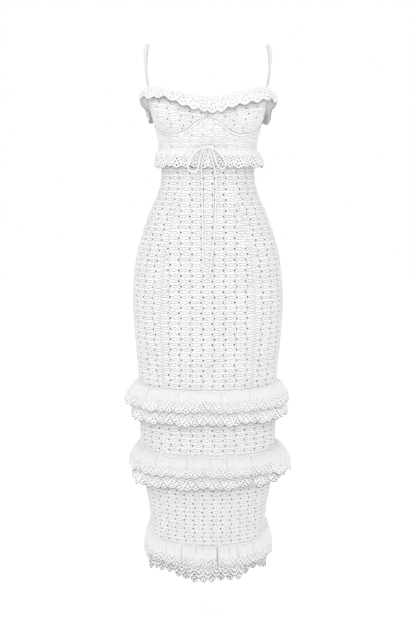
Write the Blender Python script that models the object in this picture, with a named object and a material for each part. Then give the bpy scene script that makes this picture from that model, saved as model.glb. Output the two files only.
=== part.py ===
"""A fitted cotton eyelet dress with cups, gathered ruffles and a drawstring, as worn and with nobody in it.

Metres, +Z up. The origin is midway between the two places where the straps rest on the shoulders.
The dress faces -Y. Left and right are the wearer's, so left is +X. A turn is an angle round the
body in degrees: 0 at the centre front, 90 at the left side, 180 at the centre back.
"""

import math

import bmesh
import bpy
import numpy as np
from mathutils import Matrix, Vector

# Cloth and sewing

PANEL_WALL = 0.0015
RUFFLE_WALL = 0.0012
STRAP_WALL = 0.0014
STRAP_WIDTH = 0.0085
SEAM_GAP = 0.0003
LAY_GAP = 0.0004  # between a panel and what lies on it

# Heights of the seams that go round the body

UNDER_BUST = -0.248
SKIRT_FOOT = -0.827  # the lowest place of the knee seam
SIDE = 88.0  # turn of the side seams

# The body line: the outer surface of the dress, with the cups left out
# height, half width, depth in front, depth behind

BODY = (
    (-0.085, 0.1500, 0.088, 0.095),
    (-0.105, 0.1485, 0.091, 0.097),
    (-0.131, 0.1458, 0.095, 0.099),
    (-0.155, 0.1400, 0.097, 0.099),
    (-0.179, 0.1330, 0.098, 0.097),
    (-0.207, 0.1255, 0.097, 0.094),
    (-0.226, 0.1208, 0.095, 0.091),
    (-0.248, 0.1178, 0.093, 0.088),
    (-0.279, 0.1144, 0.090, 0.083),
    (-0.310, 0.1130, 0.088, 0.079),
    (-0.342, 0.1173, 0.090, 0.081),
    (-0.381, 0.1335, 0.095, 0.090),
    (-0.420, 0.1498, 0.100, 0.102),
    (-0.460, 0.1628, 0.104, 0.114),
    (-0.499, 0.1740, 0.106, 0.124),
    (-0.559, 0.1828, 0.108, 0.133),
    (-0.619, 0.1865, 0.109, 0.135),
    (-0.700, 0.1825, 0.108, 0.127),
    (-0.781, 0.1759, 0.106, 0.117),
    (-0.869, 0.1718, 0.104, 0.110),
    (-0.979, 0.1711, 0.103, 0.108),
    (-1.031, 0.1684, 0.102, 0.107),
    (-1.095, 0.1595, 0.100, 0.105),
    (-1.149, 0.1503, 0.098, 0.103),
    (-1.200, 0.1456, 0.096, 0.102),
    (-1.320, 0.1440, 0.095, 0.101),
)
SQUARENESS = 2.2  # 2 would make each section an ellipse

# The top edge of the bodice: turn, height

TOP_EDGE = (
    (0, -0.1275),
    (12, -0.1235),
    (25, -0.1140),
    (40, -0.1055),
    (55, -0.1030),
    (66, -0.1030),
    (75, -0.1060),
    (79, -0.1260),
    (84, -0.1450),
    (90, -0.1570),
    (98, -0.1600),
    (112, -0.1560),
    (140, -0.1580),
    (180, -0.1600),
)

# The seams of the tiers, which rise towards the sides: turn, height

KNEE_SEAM = ((0, -0.827), (50, -0.8245), (90, -0.819), (180, -0.820))
CALF_SEAM = ((0, -0.993), (40, -0.993), (75, -0.984), (90, -0.979), (130, -0.977), (180, -0.980))
HEM_SEAM = ((0, -1.227), (45, -1.222), (70, -1.213), (88, -1.194), (110, -1.182), (180, -1.186))

# The seam under the cups: turn, height

CUP_SEAM = (
    (0, -0.1720),
    (5, -0.1800),
    (12, -0.1910),
    (22, -0.2080),
    (36, -0.2155),
    (50, -0.2130),
    (62, -0.2080),
    (75, -0.2000),
    (88, -0.1950),
    (100, -0.1950),
)

CUP_DEPTH = 0.038
CUP_TURN = 36.0  # where a cup is deepest
CUP_SPREAD = 22.0
CUP_SPLIT = 44.0  # the seam between the inner and outer panel of a cup
CUP_CROWN = 0.82  # under 1, so that the cup's top edge stands out a little less than its middle
CUP_LEAN = 1.35  # over 1 brings the deepest place down

# The raised strip that covers the seam under a cup, and the turns where it ends

PIPING_WIDTH = 0.0044
PIPING_WALL = 0.0012
PIPING_LAY = 0.0006
PIPING_COLUMNS = 14
PIPING_ENDS = (5.5, 82.5)

# The princess seams of the skirt: height, turn

PRINCESS = ((-0.827, 36.5), (-0.580, 35.0), (-0.380, 31.0), (-0.310, 28.5), (-0.248, 25.5))

# Ruched folds across the midriff: height, depth, turn of the middle, spread in turn

MIDRIFF_FOLDS = (
    (-0.206, 0.0012, -2, 20),
    (-0.219, 0.0016, 8, 45),
    (-0.231, 0.0014, 22, 40),
    (-0.240, 0.0010, -20, 35),
)
FOLD_HALF_HEIGHT = 0.005


def curve_through(rows, column=1):
    """A function that follows a table's column smoothly and never overshoots between two rows."""
    rows = sorted(rows)
    keys = np.array([row[0] for row in rows], float)
    values = np.array([row[column] for row in rows], float)
    steps = np.diff(values) / np.diff(keys)
    slopes = np.zeros(len(keys))
    slopes[0] = steps[0]
    slopes[-1] = steps[-1]
    for i in range(1, len(keys) - 1):
        before = steps[i - 1]
        after = steps[i]
        if before * after > 0:
            slopes[i] = 2 * before * after / (before + after)

    def value(key):
        key = min(max(key, keys[0]), keys[-1])
        i = min(int(np.searchsorted(keys, key, side="right")) - 1, len(keys) - 2)
        width = keys[i + 1] - keys[i]
        part = (key - keys[i]) / width
        rise = part * part * (3 - 2 * part)
        ease_in = part * (1 - part) ** 2 * width
        ease_out = part * part * (part - 1) * width
        start = values[i] * (1 - rise) + ease_in * slopes[i]
        return start + values[i + 1] * rise + ease_out * slopes[i + 1]

    return value


half_width = curve_through(BODY, 1)
front_depth = curve_through(BODY, 2)
back_depth = curve_through(BODY, 3)
top_edge = curve_through(TOP_EDGE)
cup_seam = curve_through(CUP_SEAM)
knee_seam = curve_through(KNEE_SEAM)
calf_seam = curve_through(CALF_SEAM)
hem_seam = curve_through(HEM_SEAM)
princess = curve_through(PRINCESS)


def around(turn):
    """The same turn between -180 and 180."""
    return (turn + 180.0) % 360.0 - 180.0


def cup_bulge(turn, height):
    """How far a cup stands out of the body line here."""
    side = abs(around(turn))
    low = cup_seam(side)
    high = top_edge(side)
    if height <= low or side > SIDE:
        return 0.0
    part = min((height - low) / (high - low), 1.0)
    rise = math.sin(math.pi * CUP_CROWN * (1 - (1 - part) ** CUP_LEAN))
    return CUP_DEPTH * rise * math.exp(-(((side - CUP_TURN) / CUP_SPREAD) ** 2))


def fold_depth(turn, height):
    """How far the ruched folds of the midriff stand in or out here."""
    depth = 0.0
    for fold_height, fold, middle, spread in MIDRIFF_FOLDS:
        lift = (height - fold_height) / FOLD_HALF_HEIGHT
        side = (around(turn) - middle) / spread
        depth += fold * (1 - lift * lift) * math.exp(-lift * lift - side * side)
    return depth


def skin(turn, height):
    """A point of the dress's outer surface."""
    angle = math.radians(turn)
    power = 2.0 / SQUARENESS
    across = math.copysign(abs(math.sin(angle)) ** power, math.sin(angle))
    along = abs(math.cos(angle)) ** power
    if math.cos(angle) > 0:
        point = Vector((half_width(height) * across, -front_depth(height) * along, height))
    else:
        point = Vector((half_width(height) * across, back_depth(height) * along, height))
    level = Vector((point.x, point.y, 0)).normalized()
    return point + level * cup_bulge(turn, height)


def outward(turn, height):
    """The direction that points straight out of the cloth."""
    along = skin(turn + 0.6, height) - skin(turn - 0.6, height)
    up = skin(turn, height + 0.002) - skin(turn, height - 0.002)
    return along.cross(up).normalized()


def on_skin(turn, height, out):
    """A point that lies out from the dress's outer surface, or inside it where out is negative."""
    return skin(turn, height) + outward(turn, height) * out


def turn_step(turn, height, distance):
    """The turn that a distance along the cloth makes here."""
    return distance / (skin(turn + 0.5, height) - skin(turn - 0.5, height)).length


def finish(name, shape, material):
    """Gives the shape an object of its own, with its faces pointing out."""
    bmesh.ops.recalc_face_normals(shape, faces=shape.faces)
    if shape.calc_volume(signed=True) < 0:
        bmesh.ops.reverse_faces(shape, faces=shape.faces)
    mesh = bpy.data.meshes.new(name)
    shape.to_mesh(mesh)
    shape.free()
    mesh.shade_smooth()
    mesh.set_sharp_from_angle(angle=math.radians(50))
    mesh.materials.append(material)
    thing = bpy.data.objects.new(name, mesh)
    bpy.context.scene.collection.objects.link(thing)
    return thing


def cloth(name, columns, rows, place, material):
    """A piece of cloth: a flat grid, thickened, then laid in place.

    place(column, row, face) gives each point. face is 0 on the inside of the cloth, 1 outside.
    """
    shape = bmesh.new()
    bmesh.ops.create_grid(shape, x_segments=columns, y_segments=rows, size=0.5)
    outside = bmesh.ops.extrude_face_region(shape, geom=shape.faces[:])["geom"]
    for corner in outside:
        if isinstance(corner, bmesh.types.BMVert):
            corner.co.z = 1.0
    for corner in shape.verts:
        column = round((corner.co.x + 0.5) * columns)
        row = round((0.5 - corner.co.y) * rows)
        corner.co = place(column, row, corner.co.z)
    return finish(name, shape, material)


def panel(name, turns, top, bottom, rows, material, edges=None, shape_of=None):
    """A panel of the body between two heights, each a number or a function of the turn.

    turns are its columns. edges are two functions of the height that give the turn of each side edge.
    """

    def turn_at(column, height):
        if not edges:
            return turns[column]
        first = edges[0](height)
        last = edges[1](height)
        return first + (last - first) * column / (len(turns) - 1)

    def place(column, row, face):
        part = column / (len(turns) - 1)
        high = top(abs(around(turns[column]))) if callable(top) else top
        low = bottom(abs(around(turn_at(column, SKIRT_FOOT)))) if callable(bottom) else bottom
        high -= SEAM_GAP / 2
        low += SEAM_GAP / 2
        height = high + (low - high) * row / rows
        turn = turn_at(column, height)
        inset = turn_step(turn, height, SEAM_GAP / 2) * (1 - 2 * part)
        out = PANEL_WALL * (face - 1)
        if shape_of:
            out += shape_of(turn, height)
        return on_skin(turn + inset, height, out)

    return cloth(name, len(turns) - 1, rows, place, material)


def spread(first, last, count):
    return list(np.linspace(first, last, count + 1))


# Ruffles. In each table: turn, how far the edge stands out, how far it drops

NECKLINE_FALL = (
    (-180, 0.010, 0.026),
    (-115, 0.010, 0.022),
    (-96, 0.009, 0.015),
    (-86, 0.008, 0.013),
    (-79, 0.014, 0.013),
    (-72, 0.017, 0.018),
    (-60, 0.014, 0.022),
    (-44, 0.010, 0.025),
    (-30, 0.009, 0.021),
    (-18, 0.008, 0.025),
    (0, 0.007, 0.033),
    (18, 0.009, 0.031),
    (40, 0.011, 0.031),
    (60, 0.015, 0.028),
    (72, 0.019, 0.023),
    (79, 0.018, 0.016),
    (86, 0.014, 0.018),
    (96, 0.013, 0.022),
    (115, 0.011, 0.024),
    (180, 0.010, 0.026),
)
UNDER_BUST_FALL = (
    (-180, 0.0120, 0.035),
    (-90, 0.0125, 0.035),
    (-60, 0.0110, 0.036),
    (-20, 0.0095, 0.036),
    (-9, 0.0065, 0.036),
    (0, 0.0032, 0.036),
    (9, 0.0065, 0.036),
    (20, 0.0095, 0.036),
    (60, 0.0125, 0.036),
    (90, 0.0180, 0.036),
    (180, 0.0120, 0.035),
)
KNEE_FALL = (
    (-180, 0.022, 0.051),
    (-120, 0.030, 0.052),
    (-90, 0.033, 0.050),
    (-60, 0.024, 0.047),
    (0, 0.018, 0.043),
    (60, 0.022, 0.045),
    (90, 0.028, 0.047),
    (120, 0.030, 0.050),
    (180, 0.022, 0.051),
)
KNEE_UNDER_FALL = (
    (-180, 0.014, 0.083),
    (-90, 0.019, 0.086),
    (-50, 0.013, 0.081),
    (0, 0.011, 0.0775),
    (50, 0.015, 0.077),
    (90, 0.027, 0.080),
    (130, 0.022, 0.083),
    (180, 0.014, 0.083),
)
CALF_FALL = (
    (-180, 0.021, 0.055),
    (-120, 0.025, 0.058),
    (-90, 0.027, 0.055),
    (-45, 0.021, 0.0405),
    (0, 0.018, 0.0395),
    (45, 0.023, 0.0395),
    (75, 0.036, 0.053),
    (90, 0.041, 0.060),
    (120, 0.036, 0.058),
    (180, 0.021, 0.055),
)
CALF_UNDER_FALL = (
    (-180, 0.014, 0.084),
    (-120, 0.022, 0.087),
    (-90, 0.026, 0.086),
    (-45, 0.014, 0.075),
    (0, 0.011, 0.073),
    (45, 0.015, 0.069),
    (75, 0.026, 0.069),
    (90, 0.030, 0.071),
    (120, 0.026, 0.076),
    (180, 0.014, 0.084),
)
HEM_FALL = (
    (-180, 0.012, 0.080),
    (-130, 0.015, 0.082),
    (-95, 0.015, 0.078),
    (-70, 0.012, 0.051),
    (-35, 0.010, 0.041),
    (0, 0.010, 0.042),
    (35, 0.010, 0.044),
    (70, 0.013, 0.050),
    (95, 0.019, 0.076),
    (130, 0.019, 0.080),
    (180, 0.012, 0.080),
)
HEM_UNDER_FALL = (
    (-180, 0.006, 0.110),
    (-95, 0.006, 0.108),
    (-75, 0.004, 0.082),
    (-55, 0.004, 0.062),
    (-32, 0.005, 0.056),
    (-25, 0.007, 0.070),
    (28, 0.007, 0.071),
    (34, 0.005, 0.065),
    (42, 0.004, 0.053),
    (62, 0.004, 0.065),
    (80, 0.004, 0.089),
    (95, 0.006, 0.107),
    (180, 0.006, 0.110),
)
COLUMNS_A_WAVE = 4  # and two scallops to each wave
RUFFLE_ROWS = (0.0, 0.35, 1.0)
FALL_CURVE = 2.2  # over 1, a ruffle leaves its seam steeply and then hangs
UNEVEN_MEAN = 0.68  # share of the full wave, which grows and shrinks along the ruffle
UNEVEN_SWING = 0.22
UNEVEN_RATE = 0.11  # radians of that growth to each degree of turn

# Ruffles with a back that the zip parts: wave, scallop, columns in front, columns in each back

NECKLINE_WAVES = (0.0038, 0.005, 40, 18)
UNDER_BUST_WAVES = (0.0040, 0.005, 32, 14)

# Tiers: seam, wave, columns in each half, phase, then the fall and scallop of each layer

TIERS = (
    ("knee_ruffle", knee_seam, 0.0055, 44, 0.0, KNEE_FALL, 0.006, KNEE_UNDER_FALL, 0.006),
    ("calf_ruffle", calf_seam, 0.0060, 44, 1.1, CALF_FALL, 0.006, CALF_UNDER_FALL, 0.006),
    ("hem_ruffle", hem_seam, 0.0050, 36, 2.3, HEM_FALL, 0.006, HEM_UNDER_FALL, 0.012),
)
UNDER_START = LAY_GAP
UPPER_START = LAY_GAP + RUFFLE_WALL + LAY_GAP
ZIP_TURN_GAP = 1.2  # the ruffles stop this far from the zip


def edge_turns(edge, first, last, columns):
    """Turns that part an edge of the body into equal lengths of cloth."""
    fine = spread(first, last, 400)
    points = [skin(turn, edge(abs(around(turn)))) for turn in fine]
    lengths = [0.0]
    for before, after in zip(points, points[1:]):
        lengths.append(lengths[-1] + (after - before).length)
    return list(np.interp(np.linspace(0, lengths[-1], columns + 1), lengths, fine))


def ruffle(name, edge, first, last, columns, fall, start, wave, scallop, material, phase=0.0):
    """A gathered strip that hangs from an edge of the body between two turns, its lower edge scalloped."""
    turns = edge_turns(edge, first, last, columns)
    out_of = curve_through(fall, 1)
    drop_of = curve_through(fall, 2)

    def place(column, row, face):
        turn = turns[column]
        part = RUFFLE_ROWS[row]
        top = edge(abs(around(turn)))
        reach = out_of(around(turn))
        drop = drop_of(around(turn)) * part
        ends = 1 - 2 * column / columns
        turn += turn_step(turn, top, SEAM_GAP / 2) * ends
        gather = math.cos(2 * math.pi * (column / COLUMNS_A_WAVE) + phase)
        uneven = UNEVEN_MEAN + UNEVEN_SWING * math.sin(turn * UNEVEN_RATE + phase)
        swing = wave * gather * uneven * part * min(reach / wave, 1.0)
        out = start + reach * (1 - (1 - part) ** FALL_CURVE) + swing
        if row == len(RUFFLE_ROWS) - 1:
            drop += scallop * (column % 2)
        return on_skin(turn, top - drop, out + RUFFLE_WALL * face)

    return cloth(name, columns, len(RUFFLE_ROWS) - 1, place, material)


def seam_at(height):
    return lambda turn: height


# Straps: x, y, height, and the direction of the strap's width as a turn about Z from +X

STRAP_ROUTE = (
    (0.1440, -0.0290, -0.082, 75),
    (0.1475, -0.0300, -0.060, 62),
    (0.1495, -0.0260, -0.036, 42),
    (0.1480, -0.0160, -0.012, 18),
    (0.1430, 0.0000, 0.000, 0),
    (0.1480, 0.0170, -0.011, -22),
    (0.1512, 0.0320, -0.038, -45),
    (0.1505, 0.0400, -0.068, -60),
    (0.1465, 0.0430, -0.098, -68),
    (0.1405, 0.0425, -0.125, -72),
)
STRAP_FRONT_TURN = 74.0
STRAP_BACK_TURN = 112.0
STRAP_SEAT = 0.0011  # from the smooth inner face, which the flat columns cut across
STRAP_OVERLAP = 0.009
STRAP_RISE = 0.004  # how far a strap goes straight up before it bows
STRAP_POINTS = 22


def smooth_route(points, count):
    """Points spaced evenly along a smooth curve through a route's own points."""
    route = [np.array(point, float) for point in points]
    route = [2 * route[0] - route[1]] + route + [2 * route[-1] - route[-2]]
    fine = []
    for a, b, c, d in zip(route, route[1:], route[2:], route[3:]):
        for part in np.linspace(0, 1, 12, endpoint=False):
            bend = 2 * a - 5 * b + 4 * c - d
            twist = 3 * b - a - 3 * c + d
            fine.append(0.5 * (2 * b + (c - a) * part + bend * part**2 + twist * part**3))
    fine.append(route[-2])
    fine = np.array(fine)
    steps = np.linalg.norm(np.diff(fine[:, :3], axis=0), axis=1)
    lengths = np.concatenate([[0], np.cumsum(steps)])
    even = np.linspace(0, lengths[-1], count)
    return np.stack([np.interp(even, lengths, column) for column in fine.T], axis=1)


def strap(name, mirror, material):
    """A flat strap, sewn to the inside of the top edge in front and behind."""
    inside = -PANEL_WALL - STRAP_SEAT - STRAP_WALL / 2
    ends = []
    for turn in (STRAP_FRONT_TURN, STRAP_BACK_TURN):
        low = on_skin(turn, top_edge(turn) - STRAP_OVERLAP, inside)
        high = on_skin(turn, top_edge(turn) + STRAP_RISE, inside)
        facing = outward(turn, top_edge(turn) - STRAP_OVERLAP)
        width_turn = math.degrees(math.atan2(facing.x, -facing.y))
        ends.append(((*low, width_turn), (*high, width_turn)))
    if ends[1][0][3] > 90:
        ends[1] = tuple((*point[:3], point[3] - 180) for point in ends[1])
    route = (ends[0][0], ends[0][1], *STRAP_ROUTE, ends[1][1], ends[1][0])
    points = smooth_route(route, STRAP_POINTS)

    def place(column, row, face):
        here = Vector(points[column][:3])
        before = Vector(points[max(column - 1, 0)][:3])
        after = Vector(points[min(column + 1, STRAP_POINTS - 1)][:3])
        along = (after - before).normalized()
        angle = math.radians(points[column][3])
        wide = Vector((math.cos(angle), math.sin(angle), 0))
        wide = (wide - along * wide.dot(along)).normalized()
        up = along.cross(wide).normalized()
        at = here + wide * STRAP_WIDTH * (row - 0.5) + up * STRAP_WALL * (face - 0.5)
        return Vector((at.x * mirror, at.y, at.z))

    return cloth(name, STRAP_POINTS - 1, 1, place, material)


# Drawstring: x, height, and how far its middle lies out from the dress

CORD_WIDTH = 0.0042
TAIL_RIGHT = (
    (-0.0034, -0.2480, 0.0050),
    (-0.0085, -0.2570, 0.0076),
    (-0.0125, -0.2720, 0.0092),
    (-0.0145, -0.2880, 0.0100),
    (-0.0145, -0.3020, 0.0062),
    (-0.0138, -0.3180, 0.0028),
    (-0.0135, -0.3500, 0.0028),
    (-0.0128, -0.3900, 0.0028),
    (-0.0118, -0.4300, 0.0028),
    (-0.0116, -0.4700, 0.0028),
    (-0.0112, -0.5050, 0.0028),
    (-0.0088, -0.5330, 0.0028),
)
TAIL_LEFT = (
    (0.0022, -0.2480, 0.0050),
    (0.0066, -0.2570, 0.0076),
    (0.0100, -0.2710, 0.0092),
    (0.0135, -0.2870, 0.0100),
    (0.0172, -0.3010, 0.0062),
    (0.0192, -0.3180, 0.0028),
    (0.0190, -0.3500, 0.0028),
    (0.0178, -0.3900, 0.0028),
    (0.0166, -0.4250, 0.0028),
    (0.0137, -0.4600, 0.0028),
    (0.0103, -0.4950, 0.0028),
    (0.0062, -0.5250, 0.0028),
    (0.0042, -0.5420, 0.0028),
)
LOOP_RIGHT = (
    (-0.0063, -0.2428, 0.0042),
    (-0.0130, -0.2450, 0.0092),
    (-0.0205, -0.2560, 0.0118),
    (-0.0265, -0.2720, 0.0152),
    (-0.0290, -0.2880, 0.0172),
    (-0.0265, -0.2985, 0.0168),
    (-0.0225, -0.2930, 0.0158),
    (-0.0200, -0.2780, 0.0145),
    (-0.0165, -0.2620, 0.0122),
)
LOOP_LEFT = (
    (0.0047, -0.2428, 0.0042),
    (0.0125, -0.2460, 0.0092),
    (0.0205, -0.2570, 0.0122),
    (0.0290, -0.2700, 0.0158),
    (0.0360, -0.2830, 0.0180),
    (0.0350, -0.2905, 0.0182),
    (0.0300, -0.2860, 0.0172),
    (0.0240, -0.2760, 0.0155),
    (0.0185, -0.2640, 0.0128),
)
CORD_POINTS = {"tail_right": 27, "tail_left": 28, "loop_right": 13, "loop_left": 14}
KNOT_SIZE = (0.0100, 0.0072, 0.0085)
KNOT_AT = (-0.0008, -0.2430, 0.0041)


def front_turn(x, height):
    """The turn in front whose point has this x."""
    part = min(abs(x) / half_width(height), 1.0) ** (SQUARENESS / 2.0)
    return math.copysign(math.degrees(math.asin(part)), x)


def cord(name, route, count, material):
    """A soft cord that follows its route over the front of the dress."""
    places = [on_skin(front_turn(x, height), height, out) for x, height, out in route]
    points = smooth_route(places, count)
    line = bpy.data.curves.new(name, "CURVE")
    line.dimensions = "3D"
    line.bevel_depth = CORD_WIDTH / 2
    line.bevel_resolution = 2
    line.use_fill_caps = True
    spline = line.splines.new("POLY")
    spline.points.add(len(points) - 1)
    for corner, point in zip(spline.points, points):
        corner.co = (*point, 1)
    line.materials.append(material)
    thing = bpy.data.objects.new(name, line)
    bpy.context.scene.collection.objects.link(thing)
    return thing


def knot(material):
    """The knot of the drawstring, at the centre front of the under-bust seam."""
    shape = bmesh.new()
    bmesh.ops.create_icosphere(shape, subdivisions=2, radius=0.5)
    x, height, out = KNOT_AT
    turn = front_turn(x, height)
    middle = on_skin(turn, height, out)
    for corner in shape.verts:
        size = Vector(KNOT_SIZE)
        corner.co = middle + Vector(corner.co[i] * size[i] for i in range(3))
    return finish("drawstring_knot", shape, material)


# Zip at the centre back

ZIP_TAPE_WALL = 0.0010
ZIP_TAPE_TURN = 5.5
SLIDER_DROP = 0.0085  # from the top edge at the back to the middle of the slider
SLIDER_LENGTH = 0.0090
SLIDER_WIDTH = 0.0058
SLIDER_FLOOR = 0.0018
SLIDER_CHEEK = 0.0009
SLIDER_HEIGHT = 0.0036
PULL_WALL = 0.0011
PULL_LENGTH = 0.0180
PULL_TOP_WIDTH = 0.0032
PULL_NECK = 0.0078  # the straight part between the cheeks
PULL_END_WIDTH = 0.0052
PULL_PIVOT_RISE = 0.0020  # above the middle of the slider


def zip_place():
    """The matrix from the slider's own frame to the dress: x across, y out of the cloth, z up it."""
    height = top_edge(180) - SLIDER_DROP
    out = outward(180, height)
    across = Vector((1, 0, 0))
    up = across.cross(out).normalized()
    turned = Matrix((across, out, up)).transposed().to_4x4()
    return Matrix.Translation(skin(180, height)) @ turned


def slider(material):
    """A channel-shaped slider on the closed zip, between whose cheeks the pull hangs."""
    half = SLIDER_WIDTH / 2
    inner = half - SLIDER_CHEEK
    base = LAY_GAP
    floor = base + SLIDER_FLOOR
    tip = base + SLIDER_HEIGHT
    outline = (
        (-half, base),
        (half, base),
        (half, tip),
        (inner, tip),
        (inner, floor),
        (-inner, floor),
        (-inner, tip),
        (-half, tip),
    )
    shape = bmesh.new()
    corners = [shape.verts.new((x, y, -SLIDER_LENGTH / 2)) for x, y in outline]
    face = shape.faces.new(corners)
    raised = bmesh.ops.extrude_face_region(shape, geom=[face])["geom"]
    upper = [corner for corner in raised if isinstance(corner, bmesh.types.BMVert)]
    bmesh.ops.translate(shape, verts=upper, vec=(0, 0, SLIDER_LENGTH))
    thing = finish("zip_slider", shape, material)
    thing.matrix_world = zip_place()
    return thing


def pull(material):
    """The pull tab, which widens to a round end and turns about its top between the slider's cheeks."""
    out = LAY_GAP + SLIDER_FLOOR + SEAM_GAP + PULL_WALL / 2
    shape = bmesh.new()
    top = PULL_TOP_WIDTH / 2
    end = PULL_END_WIDTH / 2
    outline = [(-top, -PULL_NECK), (-top, PULL_WALL / 2), (top, PULL_WALL / 2), (top, -PULL_NECK)]
    for step in range(7):
        angle = math.radians(-180 * step / 6)
        outline.append((end * math.cos(angle), end * math.sin(angle) - PULL_LENGTH + end))
    corners = [shape.verts.new((x, -PULL_WALL / 2, z)) for x, z in outline]
    face = shape.faces.new(corners)
    raised = bmesh.ops.extrude_face_region(shape, geom=[face])["geom"]
    outer = [corner for corner in raised if isinstance(corner, bmesh.types.BMVert)]
    bmesh.ops.translate(shape, verts=outer, vec=(0, PULL_WALL, 0))
    thing = finish("zip_pull", shape, material)
    pivot = bpy.data.objects.new("zip_pull_pivot", None)
    bpy.context.scene.collection.objects.link(pivot)
    pivot.matrix_world = zip_place() @ Matrix.Translation((0, out, PULL_PIVOT_RISE))
    thing.parent = pivot
    return thing


def zip_tape(heights, material):
    """The tape of the concealed zip, behind the closed edges of the two backs."""

    def place(column, row, face):
        turn = 180 + ZIP_TAPE_TURN * (column - 1)
        out = -PANEL_WALL - LAY_GAP - ZIP_TAPE_WALL * (1 - face)
        return on_skin(turn, heights[row], out)

    return cloth("zip_tape", 2, len(heights) - 1, place, material)


def make_material(name, colour, roughness, metallic=0.0):
    material = bpy.data.materials.new(name)
    material.use_nodes = True
    surface = material.node_tree.nodes["Principled BSDF"]
    surface.inputs["Base Color"].default_value = (*colour, 1)
    surface.inputs["Roughness"].default_value = roughness
    surface.inputs["Metallic"].default_value = metallic
    return material


# Rows and columns of the panels

BODICE_COLUMNS = 8  # in each half of a cup
BACK_COLUMNS = 8
SKIRT_BACK_COLUMNS = 9
BAND_COLUMNS = 20
CUP_ROWS = 5
MIDRIFF_ROWS = 6
BACK_ROWS = 4
SKIRT_ROWS = 16
ZIP_SKIRT_ROWS = 10
KNEE_BAND_ROWS = 3
CALF_BAND_ROWS = 6


def back_turns(columns):
    """Columns of a left back, with a narrow one along the zip."""
    edge = 180 - ZIP_TAPE_TURN
    return spread(SIDE, edge, columns) + [180.0]


def mirrored(turns):
    return [-turn for turn in reversed(turns)]


def make_bodice(cotton):
    for side, sign in (("left", 1), ("right", -1)):
        inner = spread(0, CUP_SPLIT, BODICE_COLUMNS)
        outer = spread(CUP_SPLIT, SIDE, BODICE_COLUMNS)
        for part, turns in (("inner", inner), ("outer", outer)):
            if sign < 0:
                turns = mirrored(turns)
            panel(f"cup_{part}_{side}", turns, top_edge, cup_seam, CUP_ROWS, cotton)
        backs = back_turns(BACK_COLUMNS)
        if sign < 0:
            backs = mirrored(backs)
        panel(f"bodice_back_{side}", backs, top_edge, UNDER_BUST, BACK_ROWS, cotton)
        make_piping(side, sign, cotton)
    front = spread(-SIDE, SIDE, 4 * BODICE_COLUMNS)
    panel(
        "bodice_midriff", front, cup_seam, UNDER_BUST, MIDRIFF_ROWS, cotton, shape_of=fold_depth
    )


def make_piping(side, sign, cotton):
    """The raised strip that covers the seam under a cup."""
    turns = spread(PIPING_ENDS[0], PIPING_ENDS[1], PIPING_COLUMNS)

    def place(column, row, face):
        height = cup_seam(turns[column]) + PIPING_WIDTH * (0.5 - row)
        return on_skin(sign * turns[column], height, PIPING_LAY + PIPING_WALL * face)

    return cloth(f"cup_piping_{side}", PIPING_COLUMNS, 1, place, cotton)


def make_skirt(cotton):
    left_side = lambda height: SIDE
    right_side = lambda height: -SIDE
    left_princess = princess
    right_princess = lambda height: -princess(height)
    fronts = (
        ("skirt_front_centre", right_princess, left_princess, 8),
        ("skirt_front_left", left_princess, left_side, 6),
        ("skirt_front_right", right_side, right_princess, 6),
    )
    for name, first, last, columns in fronts:
        turns = spread(first(UNDER_BUST), last(UNDER_BUST), columns)
        panel(name, turns, UNDER_BUST, knee_seam, SKIRT_ROWS, cotton, edges=(first, last))
    backs = back_turns(SKIRT_BACK_COLUMNS)
    panel("skirt_back_left", backs, UNDER_BUST, knee_seam, SKIRT_ROWS, cotton)
    panel("skirt_back_right", mirrored(backs), UNDER_BUST, knee_seam, SKIRT_ROWS, cotton)
    bands = (
        ("knee_band", knee_seam, calf_seam, KNEE_BAND_ROWS),
        ("calf_band", calf_seam, hem_seam, CALF_BAND_ROWS),
    )
    for name, top, bottom, rows in bands:
        front = spread(-SIDE, SIDE, BAND_COLUMNS)
        back = spread(SIDE, 360 - SIDE, BAND_COLUMNS)
        panel(f"{name}_front", front, top, bottom, rows, cotton)
        panel(f"{name}_back", back, top, bottom, rows, cotton)


def make_ruffles(lace):
    back = 180 - ZIP_TURN_GAP
    parted = (
        ("neckline_ruffle", top_edge, NECKLINE_FALL, NECKLINE_WAVES),
        ("under_bust_ruffle", seam_at(UNDER_BUST), UNDER_BUST_FALL, UNDER_BUST_WAVES),
    )
    for name, edge, fall, (wave, scallop, columns, back_columns) in parted:
        common = (fall, UNDER_START, wave, scallop, lace)
        ruffle(f"{name}_front", edge, -SIDE, SIDE, columns, *common)
        ruffle(f"{name}_back_left", edge, SIDE, back, back_columns, *common)
        ruffle(f"{name}_back_right", edge, -back, -SIDE, back_columns, *common)
    for name, edge, wave, columns, phase, *layers in TIERS:
        upper_fall, upper_scallop, under_fall, under_scallop = layers
        upper = (upper_fall, UPPER_START, wave, upper_scallop, lace, phase)
        under = (under_fall, UNDER_START, wave, under_scallop, lace, phase)
        for half, first, last in (("front", -SIDE, SIDE), ("back", SIDE, 360 - SIDE)):
            ruffle(f"{name}_upper_{half}", edge, first, last, columns, *upper)
            ruffle(f"{name}_under_{half}", edge, first, last, columns, *under)


def make_fastenings(cord_cotton, tape, metal):
    routes = (TAIL_RIGHT, TAIL_LEFT, LOOP_RIGHT, LOOP_LEFT)
    for (name, count), route in zip(CORD_POINTS.items(), routes):
        cord(f"drawstring_{name}", route, count, cord_cotton)
    knot(cord_cotton)
    rows = spread(top_edge(180), UNDER_BUST, BACK_ROWS)
    step = (knee_seam(180) - UNDER_BUST) / SKIRT_ROWS
    rows += [UNDER_BUST + step * (i + 1) for i in range(ZIP_SKIRT_ROWS)]
    zip_tape(rows, tape)
    slider(metal)
    pull(metal)


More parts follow.
